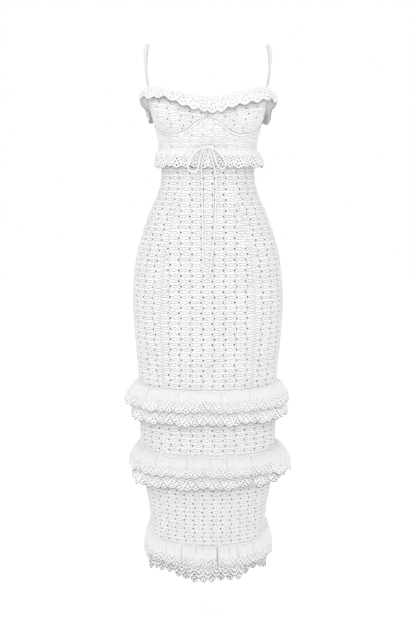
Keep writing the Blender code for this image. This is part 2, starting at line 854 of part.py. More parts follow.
def main():
    for thing in list(bpy.data.objects):
        bpy.data.objects.remove(thing)
    cotton = make_material("eyelet_cotton", (0.86, 0.86, 0.87), 0.85)
    lace = make_material("ruffle_cotton", (0.90, 0.90, 0.90), 0.85)
    straps = make_material("strap_cotton", (0.88, 0.88, 0.88), 0.80)
    cord_cotton = make_material("cord_cotton", (0.90, 0.90, 0.89), 0.75)
    tape = make_material("zip_tape", (0.85, 0.85, 0.85), 0.70)
    metal = make_material("zip_metal", (0.82, 0.82, 0.82), 0.40, 0.6)
    make_bodice(cotton)
    make_skirt(cotton)
    make_ruffles(lace)
    strap("strap_left", 1, straps)
    strap("strap_right", -1, straps)
    make_fastenings(cord_cotton, tape, metal)


main()
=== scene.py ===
# %% [markdown]
# # A white eyelet dress
# The object is a long fitted dress of embroidered cotton: two cups, thin straps, a drawstring under
# the bust and gathered ruffles with a scalloped edge. It is shown as worn, hollow and empty.
# The imported model gives every piece its size and place. This lesson lays fine cloth over those
# solids. The first cell loads them.

# %% Load the frame
import math

import bmesh
import bpy
import numpy as np
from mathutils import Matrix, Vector


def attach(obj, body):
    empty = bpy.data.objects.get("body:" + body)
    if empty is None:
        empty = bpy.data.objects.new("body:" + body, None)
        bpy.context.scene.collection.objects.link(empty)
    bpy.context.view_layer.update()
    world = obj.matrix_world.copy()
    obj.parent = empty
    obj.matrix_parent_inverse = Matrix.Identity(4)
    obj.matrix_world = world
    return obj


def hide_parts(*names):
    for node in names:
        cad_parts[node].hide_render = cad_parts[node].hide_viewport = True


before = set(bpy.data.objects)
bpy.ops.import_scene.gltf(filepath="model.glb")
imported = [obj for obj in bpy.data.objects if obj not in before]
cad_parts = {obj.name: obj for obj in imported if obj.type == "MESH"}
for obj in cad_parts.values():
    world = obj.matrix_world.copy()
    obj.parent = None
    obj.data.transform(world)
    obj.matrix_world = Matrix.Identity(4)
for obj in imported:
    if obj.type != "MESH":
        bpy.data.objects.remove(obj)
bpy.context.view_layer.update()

# %% [markdown]
# ## The body line
# A fitted dress follows a body, so its shape could be sculpted, simulated on a figure, or drawn as
# level sections. Sections are the surest way to keep a measured outline: each row of the table is a
# height with a half width and two depths, and a smooth curve runs from row to row. A turn is an
# angle round the body in degrees, 0 at the centre front and 90 at the wearer's left side. All
# tables give lengths in tenths of a millimetre, and the function below turns them into metres.

# %% Tables of the body line
UNDER_BUST = -0.248
SIDE = 88.0
SQUARENESS = 2.2
TENTHS = 10000.0
PERCENT = 100.0
LENGTHS = (TENTHS, TENTHS, TENTHS, TENTHS)
TURN_AND_LENGTHS = (1, TENTHS, TENTHS)


def table(units, *rows):
    """The rows, with each column divided by its unit."""
    return tuple(tuple(value / unit for value, unit in zip(row, units)) for row in rows)


# height, half width, depth in front, depth behind
BODY = table(
    LENGTHS,
    (-850, 1500, 880, 950), (-1050, 1485, 910, 970), (-1310, 1458, 950, 990),
    (-1550, 1400, 970, 990), (-1790, 1330, 980, 970), (-2070, 1255, 970, 940),
    (-2260, 1208, 950, 910), (-2480, 1178, 930, 880), (-2790, 1144, 900, 830),
    (-3100, 1130, 880, 790), (-3420, 1173, 900, 810), (-3810, 1335, 950, 900),
    (-4200, 1498, 1000, 1020), (-4600, 1628, 1040, 1140), (-4990, 1740, 1060, 1240),
    (-5590, 1828, 1080, 1330), (-6190, 1865, 1090, 1350), (-7000, 1825, 1080, 1270),
    (-7810, 1759, 1060, 1170), (-8690, 1718, 1040, 1100), (-9790, 1711, 1030, 1080),
    (-10310, 1684, 1020, 1070), (-10950, 1595, 1000, 1050), (-11490, 1503, 980, 1030),
    (-12000, 1456, 960, 1020), (-13200, 1440, 950, 1010),
)
# turn, height of the bodice's top edge
TOP_EDGE = table(
    TURN_AND_LENGTHS,
    (0, -1275), (12, -1235), (25, -1140), (40, -1055), (55, -1030), (66, -1030), (75, -1060),
    (79, -1260), (84, -1450), (90, -1570), (98, -1600), (112, -1560), (140, -1580), (180, -1600),
)
# turn, height of the seam under the cups
CUP_SEAM = table(
    TURN_AND_LENGTHS,
    (0, -1720), (5, -1800), (12, -1910), (22, -2080), (36, -2155), (50, -2130), (62, -2080),
    (75, -2000), (88, -1950), (100, -1950),
)
# turn, height of the seams of the tiers
KNEE_SEAM = table(TURN_AND_LENGTHS, (0, -8270), (50, -8245), (90, -8190), (180, -8200))
CALF_SEAM = table(
    TURN_AND_LENGTHS,
    (0, -9930), (40, -9930), (75, -9840), (90, -9790), (130, -9770), (180, -9800),
)
HEM_SEAM = table(
    TURN_AND_LENGTHS,
    (0, -12270), (45, -12220), (70, -12130), (88, -11940), (110, -11820), (180, -11860),
)
CUP_DEPTH = 0.038
CUP_TURN = 36.0
CUP_SPREAD = 22.0
CUP_SPLIT = 44.0
CUP_CROWN = 0.82
CUP_LEAN = 1.35
# height, turn of the princess seams
PRINCESS = table(
    (TENTHS, 1),
    (-8270, 36.5), (-5800, 35), (-3800, 31), (-3100, 28.5), (-2480, 25.5),
)

# %% [markdown]
# A spline through a table can swing past its rows and make bumps that the cloth doesn't have. The
# curve below never overshoots: its slope at each row is the harmonic mean of the slopes beside it,
# and flat where they disagree. It takes whole arrays, because thousands of points are laid at once.

# %% A smooth curve through a table
def curve_through(rows, column=1):
    """A function that follows a table's column smoothly and never overshoots between two rows."""
    rows = sorted(rows)
    keys = np.array([row[0] for row in rows], float)
    values = np.array([row[column] for row in rows], float)
    steps = np.diff(values) / np.diff(keys)
    before = steps[:-1]
    after = steps[1:]
    agree = before * after > 0
    total = np.where(agree, before + after, 1.0)
    inner = np.where(agree, 2 * before * after / total, 0.0)
    slopes = np.concatenate([steps[:1], inner, steps[-1:]])

    def value(key):
        key = np.clip(key, keys[0], keys[-1])
        i = np.clip(np.searchsorted(keys, key, side="right") - 1, 0, len(keys) - 2)
        width = keys[i + 1] - keys[i]
        part = (key - keys[i]) / width
        rise = part * part * (3 - 2 * part)
        start = values[i] * (1 - rise) + part * (1 - part) ** 2 * width * slopes[i]
        return start + values[i + 1] * rise + part * part * (part - 1) * width * slopes[i + 1]

    return value


half_width, front_depth, back_depth = (curve_through(BODY, column) for column in (1, 2, 3))
top_edge = curve_through(TOP_EDGE)
cup_seam = curve_through(CUP_SEAM)
knee_seam, calf_seam, hem_seam = map(curve_through, (KNEE_SEAM, CALF_SEAM, HEM_SEAM))
princess = curve_through(PRINCESS)
print("half width of the waist:", round(float(half_width(-0.31)), 3), "m")

# %% [markdown]
# ## Cloth on the body line
# A point of the dress is a turn, a height and a distance out from its surface. The cups are a dome
# added to the body line, deepest in front of each breast and gone at the seam below. Two nearby
# points along the cloth and two up it give the direction that faces straight out. The last
# function turns two coordinates together, for folds, patterns and the knot.

# %% Points on the dress
NEAR_TURN = 0.6
NEAR_HEIGHT = 0.002


def around(turn):
    """The same turn between -180 and 180."""
    return (np.asarray(turn, float) + 180.0) % 360.0 - 180.0


def cup_bulge(turn, height):
    """How far a cup stands out of the body line."""
    side = np.abs(around(turn))
    low = cup_seam(side)
    part = np.clip((height - low) / (top_edge(side) - low), 0.0, 1.0)
    rise = np.sin(math.pi * CUP_CROWN * (1 - (1 - part) ** CUP_LEAN))
    bulge = CUP_DEPTH * rise * np.exp(-(((side - CUP_TURN) / CUP_SPREAD) ** 2))
    return np.where(side > SIDE, 0.0, bulge)


def skin(turn, height):
    """Points of the dress's outer surface, one row each."""
    turn, height = np.broadcast_arrays(np.asarray(turn, float), np.asarray(height, float))
    angle = np.radians(turn)
    power = 2.0 / SQUARENESS
    across = np.sign(np.sin(angle)) * np.abs(np.sin(angle)) ** power
    along = np.abs(np.cos(angle)) ** power
    depth = np.where(np.cos(angle) > 0, -front_depth(height), back_depth(height))
    x = half_width(height) * across
    y = depth * along
    scale = 1 + cup_bulge(turn, height) / np.hypot(x, y)
    return np.stack([x * scale, y * scale, height], axis=-1)


def unit(vectors):
    return vectors / np.linalg.norm(vectors, axis=-1, keepdims=True)


def outward(turn, height):
    along = skin(turn + NEAR_TURN, height) - skin(turn - NEAR_TURN, height)
    up = skin(turn, height + NEAR_HEIGHT) - skin(turn, height - NEAR_HEIGHT)
    return unit(np.cross(along, up))


def on_skin(turn, height, out):
    """Points that lie out from the dress's surface, or inside it where out is negative."""
    turn = np.asarray(turn, float)
    height = np.asarray(height, float)
    return skin(turn, height) + outward(turn, height) * np.asarray(out, float)[..., None]


def step_round(turn, height):
    """Metres of cloth in one degree of turn."""
    return np.linalg.norm(skin(turn + 0.5, height) - skin(turn - 0.5, height), axis=-1)


def turned(x, y, degrees):
    cos = math.cos(math.radians(degrees))
    sin = math.sin(math.radians(degrees))
    return x * cos - y * sin, x * sin + y * cos


print("cup stands out", round(float(cup_bulge(36.0, -0.165)) * 1000, 1), "mm")

# %% [markdown]
# ## Camera
# The photograph was taken from about two and a half metres, level with the ruffle under the bust:
# seams above that line curve up and seams far below it curve down. The camera tilts down by nine
# degrees to hold the whole dress, and its lens follows from the size of the picture.

# %% Camera
CAMERA_AT = (0.0004, -2.50, -0.2503)
CAMERA_TILT = 9.06
CAMERA_LENS = 58.6

eye = bpy.data.cameras.new("camera")
eye.lens = CAMERA_LENS
eye.sensor_width = 36.0
camera = bpy.data.objects.new("camera", eye)
camera.location = CAMERA_AT
camera.rotation_euler = (math.radians(90 - CAMERA_TILT), 0, 0)
bpy.context.scene.collection.objects.link(camera)
bpy.context.scene.camera = camera
print("camera at", CAMERA_AT)

# %% [markdown]
# ## Light
# White cloth on white asks for a bright, even studio. The surroundings light it from all sides,
# and three soft lamps give the relief its shading: one above and to one side, one in front, and
# one behind. The view transform is the plain one, so that white cloth stays white.

# %% Light
WORLD_LIGHT = 1.0
LAMPS_AIM = (0, 0, -0.65)
# name, place, width, watts
LAMPS = (
    ("key_lamp", (-1.1, -1.9, 2.3), 0.9, 12.0),
    ("front_lamp", (0.1, -1.9, 0.5), 1.4, 8.8),
    ("back_lamp", (0.4, 2.4, 1.4), 1.8, 8.0),
)

scene = bpy.context.scene
scene.view_settings.view_transform = "Standard"
world = bpy.data.worlds.new("studio")
world.use_nodes = True
backdrop = world.node_tree.nodes["Background"]
backdrop.inputs["Color"].default_value = (1.0, 1.0, 1.0, 1.0)
backdrop.inputs["Strength"].default_value = WORLD_LIGHT
scene.world = world
for name, place, width, watts in LAMPS:
    lamp = bpy.data.lights.new(name, "AREA")
    lamp.shape = "DISK"
    lamp.size = width
    lamp.energy = watts
    holder = bpy.data.objects.new(name, lamp)
    holder.location = place
    aim = Vector(LAMPS_AIM) - Vector(place)
    holder.rotation_euler = aim.to_track_quat("-Z", "Y").to_euler()
    scene.collection.objects.link(holder)
print("lamps:", len(LAMPS))

# %% [markdown]
# ## Materials
# A material is a small graph of nodes. This helper adds a node, sets its values by name and joins
# its inputs to other nodes' outputs, so that each graph below reads as a list of steps.

# %% Node helpers
def add_node(tree, kind, values=None, links=None, **settings):
    node = tree.nodes.new(kind)
    for key, value in settings.items():
        setattr(node, key, value)
    for key, value in (values or {}).items():
        node.inputs[key].default_value = value
    for key, socket in (links or {}).items():
        tree.links.new(socket, node.inputs[key])
    return node


def sums(tree, operation, first, second=0.0):
    """A Math node's output. Each term is a number or another node's output."""
    node = tree.nodes.new("ShaderNodeMath")
    node.operation = operation
    for slot, term in enumerate((first, second)):
        if isinstance(term, (int, float)):
            node.inputs[slot].default_value = term
        else:
            tree.links.new(term, node.inputs[slot])
    return node.outputs[0]


def new_material(name, roughness, sheen=0.0, metallic=0.0):
    """A material, its node tree and its surface shader."""
    material = bpy.data.materials.new(name)
    material.use_nodes = True
    surface = material.node_tree.nodes["Principled BSDF"]
    surface.inputs["Roughness"].default_value = roughness
    surface.inputs["Metallic"].default_value = metallic
    surface.inputs["Sheen Weight"].default_value = sheen
    surface.inputs["Sheen Roughness"].default_value = 0.5
    return material, material.node_tree, surface


def noise_of(tree, place, scale, detail):
    """An uneven value near 0.5 that changes over distances of about one part in scale."""
    node = add_node(
        tree, "ShaderNodeTexNoise", {"Scale": scale, "Detail": detail}, {"Vector": place}
    )
    return node.outputs["Fac"]


def tint(tree, surface, dark, light, amount):
    """Colours the surface between two colours by an amount from 0 to 1."""
    mix = add_node(tree, "ShaderNodeMix", data_type="RGBA", links={"Factor": amount})
    mix.inputs["A"].default_value = (*dark, 1)
    mix.inputs["B"].default_value = (*light, 1)
    tree.links.new(mix.outputs["Result"], surface.inputs["Base Color"])


def raise_relief(tree, surface, height, distance, strength):
    bump = add_node(
        tree, "ShaderNodeBump", {"Strength": strength, "Distance": distance}, {"Height": height}
    )
    tree.links.new(bump.outputs["Normal"], surface.inputs["Normal"])

# %% [markdown]
# ### Embroidered cotton
# Between the eyelets, the cloth is covered with wavy lines of stitching. Two of them pass between
# one row of eyelets and the next, and they bend apart at each eyelet and close again beside it, so
# that they draw a net of lens shapes. There are hundreds of metres of them, so they are a bump:
# each line is a groove between raised welts, and its colour is painted darker there as painted
# shade, as it is in the hollows of a fine crumple. Waves of the distance down the cloth are pushed
# up and down by waves of the distance across, and a little noise keeps them from looking ruled. The
# UV map is in metres of cloth.

# %% Embroidered cotton
EYELET_COLUMN = 0.0267
EYELET_ROW = 0.0128
EYELET_SHIFT = 0.0054
# name, how far the lines wander, the painted shade in a line and the colour between the lines
STITCHED = (
    ("embroidered_cotton", 1.1, (0.245, 0.235, 0.265), (0.804, 0.786, 0.796)),
    ("ruched_cotton", 1.9, (0.44, 0.43, 0.46), (0.80, 0.785, 0.797)),
)


def embroidered_cotton(name, wander, dark, light):
    material, tree, surface = new_material(name, 0.88, sheen=0.15)

    def plus(first, second):
        return sums(tree, "ADD", first, second)

    def times(first, second):
        return sums(tree, "MULTIPLY", first, second)

    def wave_of(operation, value, halves):
        """A sine or cosine of the value, with the given number of half waves in each 1 of it."""
        return sums(tree, operation, times(value, halves * math.pi))

    place = add_node(tree, "ShaderNodeUVMap", uv_map="UVMap").outputs["UV"]
    parts = add_node(tree, "ShaderNodeSeparateXYZ", links={0: place})
    drift = noise_of(tree, place, 75.0, 2.0)
    crumple = noise_of(tree, place, 420.0, 3.0)
    cloudy = noise_of(tree, place, 24.0, 2.0)
    row = sums(tree, "DIVIDE", parts.outputs["Y"], EYELET_ROW)
    zigzag = times(wave_of("SINE", row, 1), EYELET_SHIFT / 2)
    across = sums(tree, "SUBTRACT", parts.outputs["X"], zigzag)
    across = sums(tree, "SUBTRACT", sums(tree, "DIVIDE", across, EYELET_COLUMN), 0.5)
    bend = plus(wave_of("COSINE", across, 4), times(wave_of("COSINE", across, 2), 0.6))
    line = times(row, 2.0)
    sway = times(times(wave_of("SINE", line, 1), bend), 0.22)
    drift = times(sums(tree, "SUBTRACT", drift, 0.5), wander)
    line = plus(plus(line, sway), drift)
    away = sums(tree, "PINGPONG", plus(line, 0.5), 0.5)
    welt = add_node(
        tree,
        "ShaderNodeMapRange",
        {"From Min": 0.0, "From Max": 0.22, "To Min": 0.0, "To Max": 1.0},
        {"Value": away},
        interpolation_type="SMOOTHSTEP",
    ).outputs["Result"]
    raise_relief(tree, surface, plus(welt, times(crumple, 0.6)), 0.0008, 0.9)
    # The colour is painted shade: darkest in the grooves of the lines and in the crumple's hollows,
    # with a cloudy uneven tone.
    shade = plus(plus(times(welt, 0.60), times(cloudy, 0.25)), times(crumple, 0.40))
    tint(tree, surface, dark, light, shade)
    return material


cottons = {row[0]: embroidered_cotton(*row) for row in STITCHED}
print("made", *cottons)

# %% [markdown]
# ### Plain cotton, thread, and the shade inside an eyelet
# The ruffles, straps and cord are the same white cotton with no wavy stitching: a fine uneven
# crinkle is enough, and its hollows are painted darker as painted shade. The ruffles are thin
# enough
# for some light to pass through them, and the under layers get a brighter copy of their cotton:
# painted light against the shade of the layer above. Embroidery thread is a little brighter than
# the cloth. Through an eyelet one sees the shaded inside of the dress, so each hole has a dark disc
# of painted shade, and grey tubes of painted shadow run under the ruffles' edges, beside their
# pleats and along the piping.

# %% Plain materials
# name, its two colours (the darker one is painted shade in the crinkle's hollows), how fine its
# crinkle is and how deep
PLAIN = (
    ("ruffle_cotton", (0.65, 0.635, 0.645), (0.83, 0.81, 0.816), 420, 0.0006),
    ("strap_cotton", (0.60, 0.60, 0.61), (0.70, 0.70, 0.70), 700, 0.0004),
    # the ruffle cotton painted brighter for the under layers: painted light against the shade of
    # the upper layer
    ("under_cotton", (0.73, 0.715, 0.725), (0.89, 0.87, 0.877), 420, 0.0006),
    ("cord_cotton", (0.68, 0.68, 0.68), (0.80, 0.80, 0.79), 650, 0.0005),
    ("embroidery_thread", (0.78, 0.77, 0.775), (0.90, 0.885, 0.89), 1500, 0.0003),
    # painted shadow: the grey of the lines under the ruffles' edges, beside the pleats and along
    # the piping
    ("painted_shadow_grey", (0.26, 0.26, 0.27), (0.36, 0.36, 0.37), 1500, 0.0002),
    ("zip_tape", (0.62, 0.62, 0.63), (0.70, 0.70, 0.70), 900, 0.0003),
    ("eyelet_shade", (0.020, 0.020, 0.022), (0.04, 0.04, 0.042), 300, 0.0001),
)


def plain_cotton(name, dark, light, crinkle, distance):
    material, tree, surface = new_material(name, 0.85, sheen=0.2)
    place = add_node(tree, "ShaderNodeTexCoord")
    noise = noise_of(tree, place.outputs["Object"], crinkle, 4.0)
    raise_relief(tree, surface, noise, distance, 0.8)
    # The colour follows the crinkle: darker in its hollows as painted shade, with uneven tone.
    tint(tree, surface, dark, light, noise)
    return material


plain = [plain_cotton(*row) for row in PLAIN]
ruffle_cotton, strap_cotton, under_cotton, cord_cotton = plain[:4]
thread, shadow_grey, tape_cotton, hole_shade = plain[4:]
for thin in (ruffle_cotton, under_cotton):
    surface = thin.node_tree.nodes["Principled BSDF"]
    surface.inputs["Subsurface Weight"].default_value = 0.4
    surface.inputs["Subsurface Radius"].default_value = (1.0, 1.0, 1.0)
    surface.inputs["Subsurface Scale"].default_value = 0.002
enamel, enamel_tree, enamel_surface = new_material("zip_enamel", 0.32, metallic=0.1)
enamel_place = add_node(enamel_tree, "ShaderNodeTexCoord")
enamel_wear = noise_of(enamel_tree, enamel_place.outputs["Object"], 900.0, 2.0)
tint(enamel_tree, enamel_surface, (0.70, 0.70, 0.71), (0.86, 0.86, 0.86), enamel_wear)
print("materials:", len(bpy.data.materials))

# %% [markdown]
# ## Floor
# A pale floor lies a little below the hem. It glows faintly, so that it meets the white
# surroundings without a line.

# %% Floor
FLOOR_HEIGHT = -1.46
FLOOR_SIZE = 14.0
FLOOR_GLOW = 0.22

floor_shape = bmesh.new()
bmesh.ops.create_grid(floor_shape, x_segments=1, y_segments=1, size=FLOOR_SIZE / 2)
bmesh.ops.translate(floor_shape, verts=floor_shape.verts, vec=(0, 0, FLOOR_HEIGHT))
floor_mesh = bpy.data.meshes.new("floor")
floor_shape.to_mesh(floor_mesh)
floor_shape.free()
floor = bpy.data.objects.new("floor", floor_mesh)
scene.collection.objects.link(floor)
floor_paint, floor_tree, floor_surface = new_material("floor_paint", 0.9)
floor_surface.inputs["Base Color"].default_value = (0.93, 0.93, 0.93, 1)
floor_surface.inputs["Emission Color"].default_value = (1, 1, 1, 1)
floor_surface.inputs["Emission Strength"].default_value = FLOOR_GLOW
floor_mesh.materials.append(floor_paint)
print("floor at", FLOOR_HEIGHT)

# %% [markdown]
# ## Folds in the cloth
# Worn cloth is never quite smooth. Each row of these tables is one soft fold: where its middle
# lies, how it leans, how long and wide it is, and how far it stands in or out. The midriff has
# ruched folds, and the skirt has faint drag lines from the waist to the hips.

# %% Tables of folds
# turn, height, lean in degrees from level, half length, half width, depth
FOLDS = table(
    (1, TENTHS, 1, TENTHS, TENTHS, TENTHS),
    (-2, -2060, 2, 400, 35, 16), (10, -2190, -3, 900, 40, 21), (24, -2310, -4, 750, 35, 19),
    (-22, -2400, 3, 700, 32, 14), (-30, -2240, 6, 450, 30, 11), (42, -2380, -8, 500, 30, 14),
    (60, -2260, -14, 450, 35, 16), (-64, -2320, 15, 450, 35, 14), (-8, -1920, 12, 180, 28, 13),
    (7, -1860, -14, 160, 26, 11), (-12, -2385, 14, 220, 22, 14), (-16, -2330, 22, 200, 20, 11),
    (12, -2375, -18, 240, 22, 14), (15, -2310, -26, 220, 20, 11), (34, -2250, -9, 300, 22, 11),
    (-38, -2345, 8, 300, 22, 11), (-50, -2290, 12, 260, 22, 10), (52, -2340, -12, 280, 22, 10),
    (70, -2390, -8, 300, 22, 13), (-74, -2400, 9, 300, 22, 13), (-4, -1990, 4, 200, 20, 10),
    (5, -2120, -3, 300, 20, 10), (-2, -1690, 84, 150, 22, 14), (3, -1700, 97, 140, 20, 12),
    (0, -1830, 90, 120, 18, -9), (84, -3050, 8, 350, 50, -10), (-83, -3180, -9, 400, 50, -11),
    (78, -3520, 24, 500, 70, 9), (-76, -3600, -26, 450, 70, 10), (150, -3180, 6, 600, 60, -12),
    (-152, -3260, -7, 550, 60, -11), (168, -3450, 10, 500, 65, 10), (-165, -3000, -5, 600, 55, 9),
    (118, -3720, -20, 600, 90, 10), (-120, -3650, 22, 600, 90, 9), (64, -7700, 40, 600, 120, 9),
    (-66, -7800, -42, 550, 120, 10), (140, -7600, -50, 700, 130, 11),
    (-138, -7700, 48, 700, 130, 10),
)


def fold_depth(turn, height):
    """How far the folds move the cloth in or out at each point."""
    turn, height = np.broadcast_arrays(around(turn), np.asarray(height, float))
    depth = np.zeros(turn.shape)
    for fold_turn, fold_height, lean, length, width, rise in FOLDS:
        step = float(step_round(fold_turn, fold_height))
        x = around(turn - fold_turn) * step
        along, off = turned(x, height - fold_height, -lean)
        along = along / length
        off = off / width
        depth += rise * (1.25 - off * off) * np.exp(-along * along - off * off)
    return depth


print("folds:", len(FOLDS))

# %% [markdown]
# ## Laying cloth
# Every piece of cloth starts as a flat grid, made by one operator. Its points are then moved to
# their places on the dress, and its UV map keeps the distances in metres that it had when flat, so
# that the embroidery doesn't stretch. A Solidify modifier gives the cloth its thickness inwards.
# Each piece then rides on the dress, takes its material and replaces its solid, and the area of the
# flat sheet it was cut from is kept.

# %% Lay a piece of cloth
CLOTH_WALL = 0.0009
sheets = {}


def add_piece(name, data):
    """A new piece that belongs to the dress."""
    piece = bpy.data.objects.new(name, data)
    scene.collection.objects.link(piece)
    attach(piece, "dress")
    return piece


def lay_cloth(name, columns, rows, place, material, slot, wall=CLOTH_WALL):
    """place takes arrays of column and row numbers, and gives points and cloth coordinates."""
    shape = bmesh.new()
    uv = shape.loops.layers.uv.new("UVMap")
    bmesh.ops.create_grid(shape, x_segments=columns, y_segments=rows, size=0.5)
    flat = np.array([corner.co[:2] for corner in shape.verts])
    column = np.rint((flat[:, 0] + 0.5) * columns)
    row = np.rint((0.5 - flat[:, 1]) * rows)
    points, cloth_places = place(column, row)
    for corner, point in zip(shape.verts, points.tolist()):
        corner.co = point
    cloth_places = cloth_places.tolist()
    for face in shape.faces:
        for loop in face.loops:
            loop[uv].uv = cloth_places[loop.vert.index]
    sheets[name] = sum(face.calc_area() for face in shape.faces)
    mesh = bpy.data.meshes.new(name)
    shape.to_mesh(mesh)
    shape.free()
    mesh.shade_smooth()
    mesh.materials.append(material)
    piece = add_piece(name, mesh)
    if wall:
        thicken(piece, wall, -1.0)
    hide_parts(name.removeprefix("cloth_"))
    return piece


def thicken(piece, wall, side):
    thick = piece.modifiers.new("thickness", "SOLIDIFY")
    thick.thickness = wall
    thick.offset = side


def declare(piece, width, length):
    """Works out the width of the sheet the piece was cut from, from its area and length; nothing
    keeps it.
    """
    area = sheets[piece.name]
    width = max(width, area / length)


print("cloth is", CLOTH_WALL * 1000, "mm thick")

# %% [markdown]
# ## The chart of a panel
# A pattern lies flat on the cloth, while the cloth bends round the body. A chart measures the bend:
# at 90 heights it adds up the distance round the body from the panel's grain line. With it, any
# place on the dress turns into metres of cloth, and any place in the pattern finds its turn and
# height again. The mesh needs the first way, and the eyelets need the second.

# %% Charts
CHART_ROWS = 90
CHART_COLUMNS = 160


class Chart:
    def __init__(self, grain, first, last, high, low):
        """grain is the turn that the threads follow, and the rest bound the panel."""
        self.heights = np.linspace(high, low, CHART_ROWS)
        self.turns = np.linspace(first, last, CHART_COLUMNS)
        turns, heights = np.meshgrid(self.turns, self.heights)
        points = skin(turns, heights)
        steps = np.linalg.norm(np.diff(points, axis=1), axis=-1)
        across = np.concatenate([np.zeros((CHART_ROWS, 1)), np.cumsum(steps, axis=1)], axis=1)
        start = [np.interp(grain, self.turns, row) for row in across]
        self.across = across - np.array(start)[:, None]
        line = skin(np.full(CHART_ROWS, float(grain)), self.heights)
        falls = np.linalg.norm(np.diff(line, axis=0), axis=-1)
        self.down = np.concatenate([[0.0], np.cumsum(falls)])

    def to_cloth(self, turn, height):
        """Metres of cloth across and down for each place on the dress."""
        row = (self.heights[0] - height) / (self.heights[0] - self.heights[-1]) * (CHART_ROWS - 1)
        row = np.clip(row, 0, CHART_ROWS - 1.001)
        column = (turn - self.turns[0]) / (self.turns[-1] - self.turns[0]) * (CHART_COLUMNS - 1)
        column = np.clip(column, 0, CHART_COLUMNS - 1.001)
        i = row.astype(int)
        j = column.astype(int)
        a = row - i
        b = column - j
        upper = self.across[i, j] * (1 - b) + self.across[i, j + 1] * b
        lower = self.across[i + 1, j] * (1 - b) + self.across[i + 1, j + 1] * b
        down = self.down[i] * (1 - a) + self.down[i + 1] * a
        return np.stack([upper * (1 - a) + lower * a, -down], axis=-1)

    def to_place(self, across, down):
        """The turn and height of each place in the pattern."""
        row = np.interp(-down, self.down, np.arange(CHART_ROWS))
        i = np.clip(row.astype(int), 0, CHART_ROWS - 2)
        a = row - i
        rows = self.across[i] * (1 - a)[:, None] + self.across[i + 1] * a[:, None]
        turn = [np.interp(x, line, self.turns) for x, line in zip(across, rows)]
        return np.array(turn), np.interp(row, np.arange(CHART_ROWS), self.heights)


print("chart points:", CHART_ROWS * CHART_COLUMNS)

# %% [markdown]
# ## Eyelets
# An eyelet is a small hole bound with satin stitch. One is modelled with a circle that is extruded
# inwards over a raised ring and closed with a disc. Thousands are needed, so a small Geometry Nodes
# tree copies it to each point of a cloud, turned to face out of the cloth, and makes the copies
# real, and the result is kept as one plain mesh for each panel. The ruffles have a smaller eyelet,
# and the deep lobes of the hem have one with a wider hole.

# %% Model one eyelet
def eyelet_stamp(name, radius, hole, rise, sides):
    """A bound hole in the XY plane, facing +Z: a ring of thread round a dark disc."""
    shape = bmesh.new()
    bmesh.ops.create_circle(shape, segments=sides, radius=radius)
    profile = ((radius * 0.5 + hole * 0.5, rise), (hole, 0.00012))
    edges = shape.edges[:]
    for ring_radius, ring_height in profile:
        grown = bmesh.ops.extrude_edge_only(shape, edges=edges)["geom"]
        ring = [part for part in grown if isinstance(part, bmesh.types.BMVert)]
        edges = [part for part in grown if isinstance(part, bmesh.types.BMEdge)]
        edges = [edge for edge in edges if all(corner in ring for corner in edge.verts)]
        for corner in ring:
            level = Vector((corner.co.x, corner.co.y, 0)).normalized() * ring_radius
            corner.co = (level.x, level.y, ring_height)
    disc = bmesh.ops.contextual_create(shape, geom=edges)["faces"]
    for face in shape.faces:
        face.smooth = True
        if face.normal.z < 0:
            face.normal_flip()
    for face in disc:
        face.material_index = 1
        face.smooth = False
    mesh = bpy.data.meshes.new(name)
    shape.to_mesh(mesh)
    shape.free()
    mesh.materials.append(thread)
    mesh.materials.append(hole_shade)
    stamp = bpy.data.objects.new(name, mesh)
    scene.collection.objects.link(stamp)
    return stamp


def scatter_tree(stamp):
    """Copies the stamp to each point, facing the point's own direction."""
    tree = bpy.data.node_groups.new(f"scatter_{stamp.name}", "GeometryNodeTree")
    tree.interface.new_socket("Geometry", in_out="INPUT", socket_type="NodeSocketGeometry")
    tree.interface.new_socket("Geometry", in_out="OUTPUT", socket_type="NodeSocketGeometry")
    cloud = tree.nodes.new("NodeGroupInput")
    result = tree.nodes.new("NodeGroupOutput")
    facing = add_node(tree, "GeometryNodeInputNamedAttribute", data_type="FLOAT_VECTOR")
    facing.inputs["Name"].default_value = "facing"
    size = add_node(tree, "GeometryNodeInputNamedAttribute", data_type="FLOAT")
    size.inputs["Name"].default_value = "size"
    turned = add_node(
        tree,
        "FunctionNodeAlignRotationToVector",
        axis="Z",
        links={"Vector": facing.outputs["Attribute"]},
    )
    source = add_node(tree, "GeometryNodeObjectInfo", {"Object": stamp})
    copies = add_node(
        tree,
        "GeometryNodeInstanceOnPoints",
        links={
            "Points": cloud.outputs["Geometry"],
            "Instance": source.outputs["Geometry"],
            "Rotation": turned.outputs["Rotation"],
            "Scale": size.outputs["Attribute"],
        },
    )
    real = add_node(
        tree, "GeometryNodeRealizeInstances", links={"Geometry": copies.outputs["Instances"]}
    )
    tree.links.new(real.outputs["Geometry"], result.inputs["Geometry"])
    return tree


def keep_mesh(name, holder):
    """A plain mesh of what the object's modifiers or bevel make, and the object goes."""
    graph = bpy.context.evaluated_depsgraph_get()
    mesh = bpy.data.meshes.new_from_object(holder.evaluated_get(graph), depsgraph=graph)
    mesh.name = name
    bpy.data.objects.remove(holder)
    return mesh


def scatter(name, tree, points, facing, sizes):
    """One plain mesh of copies at the given points."""
    cloud = bpy.data.meshes.new(f"{name}_places")
    cloud.from_pydata(points.tolist(), [], [])
    towards = cloud.attributes.new("facing", "FLOAT_VECTOR", "POINT")
    towards.data.foreach_set("vector", facing.astype(np.float32).ravel())
    scale = cloud.attributes.new("size", "FLOAT", "POINT")
    scale.data.foreach_set("value", sizes.astype(np.float32))
    holder = bpy.data.objects.new(f"{name}_places", cloud)
    scene.collection.objects.link(holder)
    holder.modifiers.new("scatter", "NODES").node_group = tree
    return add_piece(name, keep_mesh(name, holder))


